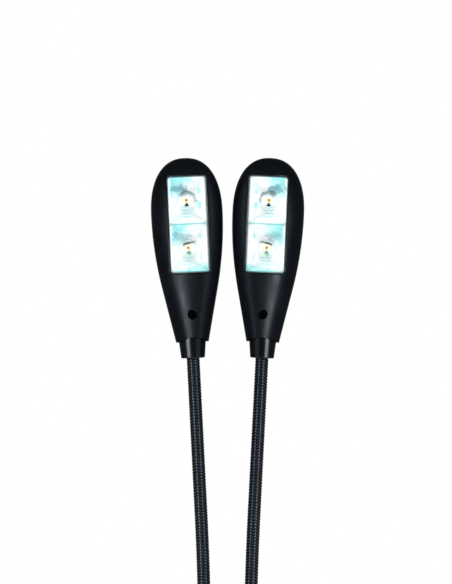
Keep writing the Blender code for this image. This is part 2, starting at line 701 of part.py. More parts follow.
def cell_spring():
    """Return the conical spring that presses on the flat end of a cell, with its foot in the plate."""
    steps = int(CELL_SPRING_TURNS * CELL_SPRING_POINTS)
    radius = CELL_SPRING_WIRE / 2
    rise = CELL_SPRING_HEIGHT - radius
    points = []
    for step in range(steps + 1):
        share = step / steps
        across = (CELL_SPRING_WIDE + (CELL_SPRING_NARROW - CELL_SPRING_WIDE) * share) / 2 - radius
        angle = share * CELL_SPRING_TURNS * 360 * DEG
        points.append((across * math.cos(angle), across * math.sin(angle), share * rise))
    return wire(points, CELL_SPRING_WIRE, 1)


# Push buttons and switches

def flange_front():
    """Return the y of the button flange's front face."""
    return FRONT_Y + SHELL_WALL + SEAT_GAP


def stem_back():
    """Return the y of the end of a button's stem."""
    return flange_front() + BUTTON_FLANGE_THICKNESS + BUTTON_STEM_REACH


def switch_front():
    """Return the y of a switch body's front face."""
    return stem_back() - BUTTON_STEM_IN_SWITCH


def switch_back():
    """Return the y of a switch body's back face."""
    return switch_front() + SWITCH_DEPTH


def push_button(side, label):
    """Make a round push button with the stem that works its switch."""
    frame = empty(f"{label}_button_track", (side * NECK_FOOT_X, FRONT_Y, BUTTON_Z))
    radius = BUTTON_DIAMETER / 2
    flange = flange_front() - FRONT_Y
    back = flange + BUTTON_FLANGE_THICKNESS
    end = stem_back() - FRONT_Y
    profile = [(0, BUTTON_PROUD), (radius - BUTTON_EDGE * 2, BUTTON_PROUD),
               (radius - BUTTON_EDGE / 3, BUTTON_PROUD - BUTTON_EDGE / 2),
               (radius, BUTTON_PROUD - BUTTON_EDGE),
               (radius, -flange), (BUTTON_FLANGE / 2, -flange), (BUTTON_FLANGE / 2, -back),
               (BUTTON_STEM / 2, -back), (BUTTON_STEM / 2, -end), (0, -end)]
    smooth(piece(f"{label}_button", moved(turned(profile), turn=FACING_FRONT), GLOSS_BLACK, parent=frame))


def switch_board():
    """Make the board with the two switch bodies soldered to it, each with a well for its button's stem."""
    half_width = BASE_HALF - SHELL_WALL - BOARD_SIDE_ROOM
    back = switch_back() + BOARD_THICKNESS
    board = piece("switch_board", box((-half_width, switch_back(), BUTTON_Z - BOARD_HEIGHT / 2),
                                      (half_width, back, BUTTON_Z + BOARD_HEIGHT / 2)), BOARD_GREEN)
    half = SWITCH_WIDTH / 2
    for side in (-1, 1):
        x = side * NECK_FOOT_X
        case = rounded_box((x - half, switch_front(), BUTTON_Z - half),
                           (x + half, switch_back() + SWITCH_SOLDER, BUTTON_Z + half), 1, SWITCH_CHAMFER,
                           segments=1)
        boolean(board, cutter(f"switch_case_{side}", case), 'UNION')
        well = cylinder(BUTTON_STEM / 2 + SEAT_GAP, (x, switch_front() - OVERRUN, BUTTON_Z),
                        (x, switch_back() - SWITCH_FLOOR, BUTTON_Z), SMALL_SIDES)
        boolean(board, cutter(f"switch_well_{side}", well))


# Clip

def lever_inner():
    """Return the lever's inner side as (y, z) points from its top to its tip."""
    near = PIVOT_Y + LUG_RADIUS + LEVER_CLEARANCE
    tip = PAD_RIB_PROUD + 2 * SEAT_GAP + TIP_PAD_THICKNESS
    return [(near + LEVER_TOP_SETBACK, PIVOT_Z + LEVER_TOP_RISE), (near, PIVOT_Z + LUG_RADIUS),
            (near, PIVOT_Z - 2 * LUG_RADIUS), (THROAT_DEPTH + SEAT_GAP, THROAT_TOP),
            (THROAT_DEPTH, -THROAT_LOW), (tip, -PAD_HEIGHT_BELOW), (tip, BASE_BOTTOM)]


def offset_line(points, distance):
    """Return a polyline moved sideways by a distance, square to its runs."""
    result = []
    for index, point in enumerate(points):
        here = Vector(point)
        before = Vector(points[max(index - 1, 0)])
        after = Vector(points[min(index + 1, len(points) - 1)])
        incoming = (here - before).normalized() if index else (after - here).normalized()
        outgoing = (after - here).normalized() if index < len(points) - 1 else incoming
        square = Vector((-(incoming + outgoing).y, (incoming + outgoing).x)).normalized()
        stretch = square.dot(Vector((-outgoing.y, outgoing.x)))
        result.append(tuple(here + square * (distance / stretch)))
    return result


def thumb_point(inner, along, inward):
    """Return a (y, z) point on the thumb part, at a distance down from its top and in from its plate."""
    top, low = Vector(inner[0]), Vector(inner[1])
    down = (low - top).normalized()
    return top + down * along + Vector((down.y, -down.x)) * inward


def lever_corners(body, outer, frame):
    """Round the lever's two upper corners."""
    y, top = outer[0]
    z = top - LEVER_CORNER + LEVER_CORNER_EASE
    for side in (-1, 1):
        x = side * (LEVER_WIDTH / 2 - LEVER_CORNER + LEVER_CORNER_EASE)
        low, high = sorted((x - side * LEVER_CORNER_EASE, side * (LEVER_WIDTH / 2 + OVERRUN)))
        waste = cutter(f"lever_corner_{side}", box((low, y - LEVER_CORNER, z - LEVER_CORNER_EASE),
                                                   (high, y + LEVER_CORNER, top + OVERRUN)), parent=frame)
        round_end = cylinder(LEVER_CORNER, (x, y - 2 * LEVER_CORNER, z), (x, y + 2 * LEVER_CORNER, z),
                             2 * SMALL_SIDES)
        boolean(waste, cutter(f"lever_corner_round_{side}", round_end, parent=frame))
        boolean(body, waste)


def thumb_ribs(body, inner, frame):
    """Join the two stiffening ribs on to the inner side of the lever's thumb part."""
    end = LEVER_RIB_START + LEVER_RIB_LENGTH
    outline = [tuple(thumb_point(inner, along, inward)) for along, inward in
               ((LEVER_RIB_START, -LEVER_PLATE / 2), (LEVER_RIB_START + LEVER_RIB_RUNOUT, LEVER_RIB_HEIGHT),
                (end - LEVER_RIB_RUNOUT, LEVER_RIB_HEIGHT), (end, -LEVER_PLATE / 2))]
    reach = LEVER_WIDTH / 2 - LEVER_RIB_INSET - LEVER_RIB_WIDTH / 2
    for side in (-1, 1):
        rib = moved(plate(outline, 0, LEVER_RIB_WIDTH / 2), (side * reach, 0, 0))
        boolean(body, cutter(f"lever_rib_{side}", rib, parent=frame), 'UNION')


def thumb_ridges(body, inner, frame):
    """Join the grip ridges on to the outer side of the lever's thumb part."""
    depth = LEVER_PLATE + THUMB_RIDGE_PROUD - THUMB_RIDGE_DIAMETER / 2
    for number in range(THUMB_RIDGE_COUNT):
        y, z = thumb_point(inner, THUMB_RIDGE_START + number * THUMB_RIDGE_PITCH, -depth)
        ridge = cylinder(THUMB_RIDGE_DIAMETER / 2, (-THUMB_RIDGE_LENGTH / 2, y, z),
                         (THUMB_RIDGE_LENGTH / 2, y, z), SMALL_SIDES)
        boolean(body, cutter(f"thumb_ridge_{number}", ridge, parent=frame), 'UNION')


def clip_lever():
    """Make the lever: a bent plate with round upper corners, stiffening ribs, grip ridges and two barrels."""
    inner = [(y - PIVOT_Y, z - PIVOT_Z) for y, z in lever_inner()]
    outer = offset_line(inner, LEVER_PLATE)
    frame = empty("clip_pivot", (0, PIVOT_Y, PIVOT_Z))
    blade = plate(inner + outer[::-1], 0, LEVER_WIDTH / 2)
    body = piece("clip_lever", blade, SATIN_BLACK, parent=frame)
    lever_corners(body, outer, frame)
    thumb_ribs(body, inner, frame)
    thumb_ridges(body, inner, frame)
    near = LUG_RADIUS + LEVER_CLEARANCE
    for side in (-1, 1):
        low, high = sorted((side * SPRING_BAY / 2, side * (SPRING_BAY / 2 + BARREL_LENGTH)))
        web = box((low, 0, -BARREL_RADIUS), (high, near + LEVER_PLATE / 2, BARREL_RADIUS))
        boolean(body, cutter(f"barrel_web_{side}", web, parent=frame), 'UNION')
        barrel = cylinder(BARREL_RADIUS, (low, 0, 0), (high, 0, 0))
        boolean(body, cutter(f"barrel_{side}", barrel, parent=frame), 'UNION')
        hole = cylinder(PIN_DIAMETER / 2 + SEAT_GAP, (low - OVERRUN, 0, 0), (high + OVERRUN, 0, 0),
                        SMALL_SIDES)
        boolean(body, cutter(f"barrel_hole_{side}", hole, parent=frame))
    return frame


def hinge_pin():
    """Make the pin with a formed head at each end."""
    shoulder = SPRING_BAY / 2 + BARREL_LENGTH + LUG_WIDTH + 2 * SEAT_GAP
    end = shoulder + PIN_HEAD_LENGTH
    shank, head = PIN_DIAMETER / 2, PIN_HEAD / 2
    profile = [(0, end), (head - PIN_EDGE, end), (head, end - PIN_EDGE), (head, shoulder), (shank, shoulder)]
    profile += [(radius, -height) for radius, height in reversed(profile)]
    pin = moved(turned(profile, SMALL_SIDES), (0, PIVOT_Y, PIVOT_Z), ALONG_X)
    smooth(piece("hinge_pin", pin, BRIGHT_METAL))


def clip_spring():
    """Make the torsion spring: coil round the pin, one leg on the base and one on the lever."""
    steps = int(SPRING_TURNS * SPRING_POINTS)
    half = SPRING_PITCH * SPRING_TURNS / 2
    coil = []
    for step in range(steps + 1):
        share = step / steps
        angle = 180 * DEG + share * SPRING_TURNS * 360 * DEG
        coil.append(Vector((-half + 2 * half * share, PIVOT_Y + SPRING_RADIUS * math.cos(angle),
                            PIVOT_Z + SPRING_RADIUS * math.sin(angle))))
    rest_y = BACK_Y + SEAT_GAP + SPRING_WIRE / 2
    base_leg = [Vector((-half, rest_y, PIVOT_Z + SPRING_LEG + SPRING_FOOT)),
                Vector((-half, rest_y, PIVOT_Z + SPRING_LEG)),
                Vector((-half, PIVOT_Y - SPRING_RADIUS, PIVOT_Z + SPRING_RADIUS))]
    near = PIVOT_Y + LUG_RADIUS + LEVER_CLEARANCE
    slope = LEVER_TOP_SETBACK / (LEVER_TOP_RISE - LUG_RADIUS)
    inset = (SEAT_GAP + SPRING_WIRE / 2) * math.hypot(1, slope)
    lever_leg = [Vector((half, near + slope * rise - inset, PIVOT_Z + LUG_RADIUS + rise))
                 for rise in (SPRING_FOOT, SPRING_LEG)]
    lever_leg.insert(0, Vector((half, near - inset, PIVOT_Z + SPRING_RADIUS)))
    points = base_leg + coil + lever_leg
    report_own_gap("clip_spring", coil, SPRING_WIRE, SPRING_POINTS)
    smooth(piece("clip_spring", wire(points, SPRING_WIRE, 1), BRIGHT_METAL))


def report_own_gap(name, points, diameter, turn_points):
    """Print the least gap of a coil to itself, measured on its points."""
    least = min((points[i] - points[j]).length for i in range(len(points))
                for j in range(i + turn_points // 2, len(points)))
    print(f"{name}: least gap to itself {(least - diameter) / MM:.2f} mm")


def jaw_pads(lever_frame):
    """Make the fixed pad, flat with a tip rib, and the moving pad that meets the rib."""
    half = LEVER_WIDTH / 2
    rib_top = -PAD_HEIGHT_BELOW - PAD_GROOVE
    rib_low = rib_top - PAD_RIB_HEIGHT + PAD_GROOVE
    profile = [(-PAD_THICKNESS, rib_low), (0, rib_low), (PAD_RIB_PROUD, rib_low + PAD_GROOVE),
               (PAD_RIB_PROUD, rib_top), (-PAD_GROOVE, rib_top + PAD_GROOVE / 2), (0, -PAD_HEIGHT_BELOW),
               (0, PAD_HEIGHT_ABOVE), (-PAD_THICKNESS, PAD_HEIGHT_ABOVE)]
    piece("fixed_pad", plate(profile, 0, half), RUBBER_BLACK)
    low = PAD_RIB_PROUD + SEAT_GAP
    block = rounded_box((-half, low - PIVOT_Y, rib_low - PIVOT_Z),
                        (half, low + TIP_PAD_THICKNESS - PIVOT_Y, rib_top - PIVOT_Z), 1, PAD_GROOVE,
                        segments=2)
    piece("moving_pad", block, RUBBER_BLACK, parent=lever_frame)


# Goosenecks

def neck_x(height):
    """Return how far a neck stands from the middle at a height above its socket."""
    below_top = NECK_LENGTH - height
    lean = math.tan(NECK_LEAN)
    if below_top <= NECK_LEAN_LENGTH:
        return NECK_TOP_X - lean * below_top
    into_curve = min(below_top - NECK_LEAN_LENGTH, NECK_CURVE_LENGTH)
    fall = into_curve * (1 - into_curve / (2 * NECK_CURVE_LENGTH))
    return NECK_TOP_X - lean * (NECK_LEAN_LENGTH + fall)


def neck_point(side, height):
    """Return a point on a neck's centre line at a height above its socket."""
    return Vector((side * neck_x(height), PARTING_Y, SOCKET_TOP + height))


def neck_profile(low, high, cone_low, cone_high):
    """Return the heights and radii of a neck section: coned ends, then crest and valley by turns."""
    crest, valley, tip = NECK_DIAMETER / 2, NECK_DIAMETER / 2 - NECK_RIB_HEIGHT, NECK_END_DIAMETER / 2
    rib_low = max(low, 0) + NECK_END_CONE
    rib_high = min(high, NECK_LENGTH) - NECK_END_CONE
    if cone_low:
        rows = [(low + NECK_END_GAP, tip), (rib_low, valley)]
    else:
        rows = [(low, crest), (rib_low, crest)]
    pitch = (rib_high - rib_low) / NECK_RIBS
    for rib in range(NECK_RIBS):
        start = rib_low + rib * pitch
        if rib or not cone_low:
            rows.append((start + pitch / 4, valley))
        rows.append((start + pitch * 3 / 4, crest))
    if cone_high:
        rows += [(rib_high, valley), (high - NECK_END_GAP, tip)]
    else:
        rows += [(rib_high, crest), (high, crest)]
    return rows


def neck_section(name, side, low, high, cone_low, cone_high, parent):
    """Make one ribbed section of a neck with its bore."""
    rows = neck_profile(low, high, cone_low, cone_high)
    start = neck_point(side, low) if cone_low else Vector((0, 0, 0))
    points = [neck_point(side, height) - start for height, _ in rows]
    radii = [radius / (NECK_DIAMETER / 2) for _, radius in rows]
    item = piece(name, wire(points, NECK_DIAMETER, 2, radii), STEEL_BLACK, parent=parent)
    reach = [low - OVERRUN, (low + high) / 2, high + OVERRUN]
    bore = wire([neck_point(side, height) - start for height in reach], NECK_BORE, 2)
    boolean(item, cutter(name + "_bore", bore, parent=parent))
    smooth(item)


def neck(side, label):
    """Make a gooseneck's sections, each on an empty at its bend, and return the last empty."""
    parent = None
    here = Vector((0, 0, 0))
    for number in range(NECK_SECTIONS):
        low, high = number * SECTION_LENGTH, (number + 1) * SECTION_LENGTH
        first, last = number == 0, number == NECK_SECTIONS - 1
        if first:
            low = socket_floor() + SEAT_GAP - SOCKET_TOP
        else:
            bend = neck_point(side, low)
            parent = empty(f"{label}_bend_{number}", bend - here, parent=parent)
            here = bend
        if last:
            high = NECK_LENGTH + NECK_IN_FERRULE
        neck_section(f"{label}_neck_{number}", side, low, high, not first, not last, parent)
    return parent, here


def socket_floor():
    """Return the height of the lip that a neck stands on inside its socket."""
    return BAY_HIGH - SEAT_GAP - SOCKET_FLANGE_THICKNESS + SOCKET_LIP


def neck_socket(side, label):
    """Make the collar that holds a neck's foot in the top of the base."""
    low = BAY_HIGH - SEAT_GAP - SOCKET_FLANGE_THICKNESS
    throat, flange = SOCKET_THROAT_DIAMETER / 2, SOCKET_FLANGE_DIAMETER / 2
    foot = BASE_TOP + SEAT_GAP
    bore = NECK_DIAMETER / 2 + NECK_SEAT_CLEARANCE
    profile = [(bore, SOCKET_TOP), (SOCKET_TOP_DIAMETER / 2 - FERRULE_EDGE, SOCKET_TOP),
               (SOCKET_TOP_DIAMETER / 2, SOCKET_TOP - FERRULE_EDGE), (SOCKET_BASE_DIAMETER / 2, foot),
               (throat, foot), (throat, BAY_HIGH - SEAT_GAP), (flange, BAY_HIGH - SEAT_GAP), (flange, low),
               (LEAD_DIAMETER / 2 + SEAT_GAP, low), (LEAD_DIAMETER / 2 + SEAT_GAP, socket_floor()),
               (bore, socket_floor())]
    smooth(piece(f"{label}_socket", turned(closed_ring(profile)), GLOSS_BLACK,
                 (side * NECK_FOOT_X, PARTING_Y, 0)))


def lead(side, label, head_place):
    """Make the two-core lead that runs from the control bay through a neck to its LED board."""
    low = socket_floor() - SOCKET_TOP - LEAD_TAIL
    count = int((NECK_LENGTH + NECK_IN_FERRULE - low) / LEAD_STEP)
    rise = (NECK_LENGTH + NECK_IN_FERRULE - low) / count
    points = [neck_point(side, low + step * rise) for step in range(count + 1)]
    board_foot = WINDOW_Z - LED_BOARD_HEIGHT / 2 - SEAT_GAP
    board_y = (LED_BOARD_FRONT + LED_BOARD_BACK) / 2
    past_screw = SCREW_Z + SCREW_BOSS_DIAMETER / 2
    tail = [(0, 0, HEAD_FLOOR_Z - LEAD_DIAMETER), (LEAD_SIDE / 2, 0, HEAD_FLOOR_Z + LEAD_DIAMETER / 2),
            (LEAD_SIDE, board_y / 2, (HEAD_FLOOR_Z + past_screw) / 2), (LEAD_SIDE, board_y / 2, past_screw),
            (LEAD_SIDE / 3, board_y, board_foot - LEAD_SIDE), (0, board_y, board_foot - LEAD_DIAMETER),
            (0, board_y, board_foot)]
    points += [head_place @ Vector(point) for point in tail]
    smooth(piece(f"{label}_lead", wire(points, LEAD_DIAMETER, 2), LEAD_RED))


# Lamp heads

def fullness(height, power):
    """Return a head's width or depth above its crown as a share of the greatest."""
    rise = min(max((height - CROWN_Z) / (HEAD_TOP - CROWN_Z), 0), 1)
    return (1 - rise ** power) ** (1 / power)


def outline(height, greatest, power):
    """Return a half width or half depth: cone from the rim, then a curve over the crown."""
    if height >= CROWN_Z:
        return greatest * fullness(height, power)
    rim = RIM_DIAMETER / 2
    fall = CROWN_Z - height
    total = CROWN_Z - FERRULE_EXPOSED
    knee = KNEE_SHARE * total
    slope = (greatest - rim) / (total - knee / 2)
    if fall < knee:
        return greatest - slope * fall * fall / (2 * knee)
    return greatest - slope * (fall - knee / 2)


def head_ring(height, sides, inset, front_limit):
    """Return one cross-section of a head at a height, drawn in by an inset."""
    half_width = outline(height, HEAD_WIDTH / 2, WIDTH_POWER) - inset
    front = outline(height, HEAD_FRONT_DEPTH, DEPTH_POWER) - inset
    rear = outline(height, HEAD_REAR_DEPTH, DEPTH_POWER) - inset
    share = min((height - FERRULE_EXPOSED) / (CROWN_Z - FERRULE_EXPOSED), 1)
    power = ROUND_POWER + (SQUARE_POWER - ROUND_POWER) * share
    ring = []
    for step in range(sides):
        angle = (step + 0.5) / sides * 360 * DEG
        across, away = math.cos(angle), math.sin(angle)
        x = half_width * math.copysign(abs(across) ** (2 / power), across)
        y = (rear if away > 0 else front) * math.copysign(abs(away) ** (2 / power), away)
        ring.append((x, max(y, -front_limit), height))
    return ring


def head_form(sides, levels, inset, low, high, front_limit):
    """Return a head's outer or inner form, lofted from low to high with levels closer to the top."""
    heights = [low + (high - low) * math.sin(90 * DEG * step / levels) for step in range(levels)]
    heights.append(high)
    return loft([head_ring(height, sides, inset, front_limit) for height in heights])


def ferrule_profile(clearance):
    """Return the outer side of the part of a ferrule that the head holds, top to bottom."""
    rim = FERRULE_TOP_DIAMETER / 2 + clearance
    groove = FERRULE_GROOVE_DIAMETER / 2 + clearance
    seat = FERRULE_EXPOSED + FERRULE_SEAT + clearance
    groove_top = FERRULE_EXPOSED + FERRULE_SEAT + FERRULE_GROOVE_HEIGHT - clearance
    top = FERRULE_EXPOSED + FERRULE_SEAT + FERRULE_GROOVE_HEIGHT + FERRULE_FLANGE_HEIGHT + clearance
    return [(rim, top), (rim, groove_top), (groove, groove_top), (groove, seat), (rim, seat)]


def ferrule(frame, label):
    """Make the tapered collar between a neck and its head."""
    bore = NECK_DIAMETER / 2 + NECK_SEAT_CLEARANCE
    held = ferrule_profile(0)
    profile = [(bore, held[0][1]), *held, (FERRULE_TOP_DIAMETER / 2, FERRULE_EXPOSED),
               (FERRULE_BOTTOM_DIAMETER / 2, FERRULE_EDGE), (FERRULE_BOTTOM_DIAMETER / 2 - FERRULE_EDGE, 0),
               (bore, 0)]
    smooth(piece(f"{label}_ferrule", turned(closed_ring(profile)), GLOSS_BLACK, parent=frame))


def window_block(width, height, low, high, corner, draft=0.0):
    """Return a rounded upright block centred on the window, wider in front by a draft."""
    block = rounded_box((-width / 2, low, WINDOW_Z - height / 2), (width / 2, high, WINDOW_Z + height / 2),
                        1, corner)
    for vertex in block.vertices:
        if draft and vertex.co.y < (low + high) / 2:
            vertex.co.x += math.copysign(draft, vertex.co.x)
            vertex.co.z += math.copysign(draft, vertex.co.z - WINDOW_Z)
    return block


def head_shells(frame, label):
    """Make the front and rear shells of a head."""
    outer = head_form(OUTER_SIDES, OUTER_LEVELS, 0, FERRULE_EXPOSED, HEAD_TOP - SEAT_GAP / 2, HEAD_WIDTH)
    cavity = cutter(f"{label}_cavity", head_form(INNER_SIDES, INNER_LEVELS, HEAD_WALL, HEAD_FLOOR_Z,
                                                 HEAD_TOP - HEAD_WALL, LEDGE_DEPTH - LENS_RECESS),
                    parent=frame)
    boss_reach = outline(SCREW_Z, HEAD_REAR_DEPTH, DEPTH_POWER) - HEAD_WALL / 2
    boss = cutter(f"{label}_boss", cylinder(SCREW_BOSS_DIAMETER / 2, (0, -boss_reach, SCREW_Z),
                                            (0, boss_reach, SCREW_Z), SMALL_SIDES), parent=frame)
    held = ferrule_profile(SEAT_GAP)
    low = FERRULE_EXPOSED - OVERRUN
    bore = NECK_DIAMETER / 2 + NECK_SEAT_CLEARANCE
    top = HEAD_FLOOR_Z + OVERRUN
    seat = [(0, top), (bore, top), (bore, held[0][1]), *held, (held[0][0], low), (0, low)]
    ferrule_cut = cutter(f"{label}_ferrule_seat", turned(seat), parent=frame)
    arch_radius = (RIM_ARCH_WIDTH ** 2 / 4 + RIM_ARCH ** 2) / (2 * RIM_ARCH)
    arch_z = FERRULE_EXPOSED + RIM_ARCH - arch_radius
    arch = cutter(f"{label}_arch", cylinder(arch_radius, (0, -RIM_DIAMETER, arch_z),
                                            (0, RIM_DIAMETER, arch_z), 2 * OUTER_SIDES), parent=frame)
    for name, front in ((f"{label}_front_shell", True), (f"{label}_rear_shell", False)):
        shell = piece(name, outer, SATIN_BLACK, parent=frame)
        boolean(shell, cavity)
        boolean(shell, boss, 'UNION')
        boolean(shell, ferrule_cut)
        boolean(shell, arch)
        low_y = -HEAD_WIDTH if front else SEAT_GAP / 2
        high_y = -SEAT_GAP / 2 if front else HEAD_WIDTH
        half = cutter(name + "_half", box((-HEAD_WIDTH, low_y, 0), (HEAD_WIDTH, high_y, HEAD_TOP + OVERRUN)),
                      parent=frame)
        boolean(shell, half, 'INTERSECT')
        if front:
            pocket = window_block(LENS_WIDTH + 2 * SEAT_GAP, LENS_HEIGHT + 2 * SEAT_GAP, -LEDGE_DEPTH,
                                  OVERRUN, WINDOW_CORNER)
            boolean(shell, cutter(f"{label}_optics_pocket", pocket, parent=frame))
            window = window_block(WINDOW_WIDTH, WINDOW_HEIGHT, -HEAD_FRONT_DEPTH - OVERRUN,
                                  -LEDGE_DEPTH + OVERRUN, WINDOW_CORNER, WINDOW_DRAFT)
            boolean(shell, cutter(f"{label}_window", window, parent=frame))
            surface = outline(SCREW_Z, HEAD_FRONT_DEPTH, DEPTH_POWER)
            counterbore = cylinder(SCREW_HOLE_DIAMETER / 2, (0, -surface - OVERRUN, SCREW_Z),
                                   (0, -surface + SCREW_HOLE_DEPTH, SCREW_Z))
            boolean(shell, cutter(f"{label}_counterbore", counterbore, parent=frame))
        else:
            for number, offset in enumerate((-BOARD_STOP_SPAN / 2, BOARD_STOP_SPAN / 2)):
                stop = cylinder(BOARD_STOP_DIAMETER / 2, (0, LED_BOARD_BACK + SEAT_GAP, WINDOW_Z + offset),
                                (0, HEAD_REAR_DEPTH - HEAD_WALL / 2, WINDOW_Z + offset), SMALL_SIDES)
                boolean(shell, cutter(f"{label}_board_stop_{number}", stop, parent=frame), 'UNION')
        shank = cylinder(SCREW_SHANK_DIAMETER / 2 + SEAT_GAP,
                         (0, -boss_reach + SCREW_HOLE_DEPTH / 2, SCREW_Z),
                         (0, screw_seat() + SCREW_LENGTH + SEAT_GAP, SCREW_Z), SMALL_SIDES)
        boolean(shell, cutter(name + "_screw_hole", shank, parent=frame))
        smooth(shell)


def screw_seat():
    """Return the y of the counterbore's floor in a head."""
    return -outline(SCREW_Z, HEAD_FRONT_DEPTH, DEPTH_POWER) + SCREW_HOLE_DEPTH


def head_screw(frame, label):
    """Make the screw that clamps a head's shells round the ferrule."""
    head, shank = SCREW_HEAD_DIAMETER / 2, SCREW_SHANK_DIAMETER / 2
    profile = [(0, SCREW_HEAD_HEIGHT), (head * SCREW_FACE_SHARE, SCREW_HEAD_HEIGHT),
               (head, SCREW_HEAD_HEIGHT / 2), (head, 0),
               (shank, 0), (shank, -SCREW_LENGTH + shank), (0, -SCREW_LENGTH)]
    body = moved(turned(profile, SMALL_SIDES), (0, screw_seat() - SEAT_GAP, SCREW_Z), FACING_FRONT)
    screw = piece(f"{label}_head_screw", body, BRIGHT_METAL, parent=frame)
    face = screw_seat() - SEAT_GAP - SCREW_HEAD_HEIGHT
    reach = head * SCREW_FACE_SHARE
    for number, (wide, tall) in enumerate(((reach, SCREW_SLOT / 2), (SCREW_SLOT / 2, reach))):
        slot = box((-wide, face - OVERRUN, SCREW_Z - tall),
                   (wide, face + SCREW_HEAD_HEIGHT / 2, SCREW_Z + tall))
        boolean(screw, cutter(f"{label}_screw_slot_{number}", slot, parent=frame))
    smooth(screw)


def led_places():
    """Return the height of each LED in a head."""
    middle = (LED_COUNT - 1) / 2
    return [WINDOW_Z + (number - middle) * LED_PITCH for number in range(LED_COUNT)]


def cup_ring(centre, y, half_width, half_height, power, sides):
    """Return one section of a reflector cup, between round and nearly square, at a depth y."""
    ring = []
    for step in range(sides):
        angle = (step + 0.5) / sides * 360 * DEG
        across, up = math.cos(angle), math.sin(angle)
        ring.append((half_width * math.copysign(abs(across) ** (2 / power), across), y,
                     centre + half_height * math.copysign(abs(up) ** (2 / power), up)))
    return ring


def reflector(frame, label):
    """Make the reflector: a block with two cups that open from a round floor to a nearly square mouth."""
    block = window_block(LENS_WIDTH, LENS_HEIGHT, REFLECTOR_FRONT, REFLECTOR_BACK, WINDOW_CORNER)
    item = piece(f"{label}_reflector", block, CHROME_CUP, parent=frame)
    floor_radius = LED_FLANGE_DIAMETER / 2 + LED_HOLE_CLEARANCE
    mouth_width = WINDOW_WIDTH / 2 - REFLECTOR_EDGE / 2
    mouth_height = LED_PITCH / 2 - REFLECTOR_EDGE / 2
    depth = REFLECTOR_DEPTH - REFLECTOR_FLOOR
    for number, centre in enumerate(led_places()):
        rings = [cup_ring(centre, y, floor_radius, floor_radius, ROUND_POWER, OUTER_SIDES)
                 for y in (REFLECTOR_BACK + OVERRUN, REFLECTOR_BACK - REFLECTOR_FLOOR)]
        for step in range(1, CUP_STEPS + 1):
            share = step / CUP_STEPS
            spread = math.sqrt(share)
            rings.append(cup_ring(centre, REFLECTOR_BACK - REFLECTOR_FLOOR - depth * share,
                                  floor_radius + (mouth_width - floor_radius) * spread,
                                  floor_radius + (mouth_height - floor_radius) * spread,
                                  ROUND_POWER + 2 * share, OUTER_SIDES))
        rings.append([(x, y - OVERRUN, z) for x, y, z in rings[-1]])
        boolean(item, cutter(f"{label}_cup_{number}", loft(rings), parent=frame))
    smooth(item)


def optics(frame, label):
    """Make a head's lens, LEDs and LED board."""
    lens = window_block(LENS_WIDTH, LENS_HEIGHT, LENS_FRONT, LENS_BACK, WINDOW_CORNER)
    piece(f"{label}_lens", lens, CLEAR_LENS, parent=frame)
    reflector(frame, label)
    radius, flange = LED_DIAMETER / 2, LED_FLANGE_DIAMETER / 2
    dome = [(radius * math.sin(angle), LED_HEIGHT - radius + radius * math.cos(angle))
            for angle in (0, 30 * DEG, 60 * DEG, 90 * DEG)]
    profile = [*dome, (radius, LED_FLANGE_THICKNESS), (flange, LED_FLANGE_THICKNESS), (flange, 0), (0, 0)]
    bulb = turned(profile)
    foot = LED_BOARD_FRONT - SEAT_GAP
    facing = moved(bulb, turn=FACING_FRONT)
    for name, height in zip(("lower", "upper"), led_places()):
        smooth(piece(f"{label}_{name}_led", facing, LED_RESIN, (0, foot, height), parent=frame))
    half_width, half_height = LED_BOARD_WIDTH / 2, LED_BOARD_HEIGHT / 2
    board = box((-half_width, LED_BOARD_FRONT, WINDOW_Z - half_height),
                (half_width, LED_BOARD_BACK, WINDOW_Z + half_height))
    piece(f"{label}_led_board", board, BOARD_WHITE, parent=frame)


def head(side, label, parent, bend):
    """Make a lamp head on the end of its neck and return its place in the world."""
    foot = neck_point(side, NECK_LENGTH)
    frame = empty(f"{label}_head_place", foot - bend, (0, side * HEAD_TILT, -side * HEAD_TOE_IN), parent)
    ferrule(frame, label)
    head_shells(frame, label)
    head_screw(frame, label)
    optics(frame, label)
    bpy.context.view_layer.update()
    return frame.matrix_world.copy()


def base():
    """Make the base with its cells, controls and clip."""
    smooth(front_housing())
    smooth(rear_housing())
    housing_screws()
    battery_door()
    cells()
    cell_contacts()
    switch_board()
    lever_frame = clip_lever()
    hinge_pin()
    clip_spring()
    jaw_pads(lever_frame)


clear_scene()
PARTS = new_collection("music_stand_light")
CUTTERS = new_collection("cutters")
base()
for SIDE, LABEL in ((-1, "left"), (1, "right")):
    push_button(SIDE, LABEL)
    neck_socket(SIDE, LABEL)
    LAST_BEND, BEND_PLACE = neck(SIDE, LABEL)
    HEAD_PLACE = head(SIDE, LABEL, LAST_BEND, BEND_PLACE)
    lead(SIDE, LABEL, HEAD_PLACE)
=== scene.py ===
"""Looks of a clip-on music stand light: two lamp heads on ribbed necks above a spring clip."""
import logging
import math
from dataclasses import dataclass
from enum import Enum
from functools import cache
from typing import Callable, Dict, List, Optional, Sequence, Tuple, Union

import bmesh
import bpy
from mathutils import Matrix, Vector


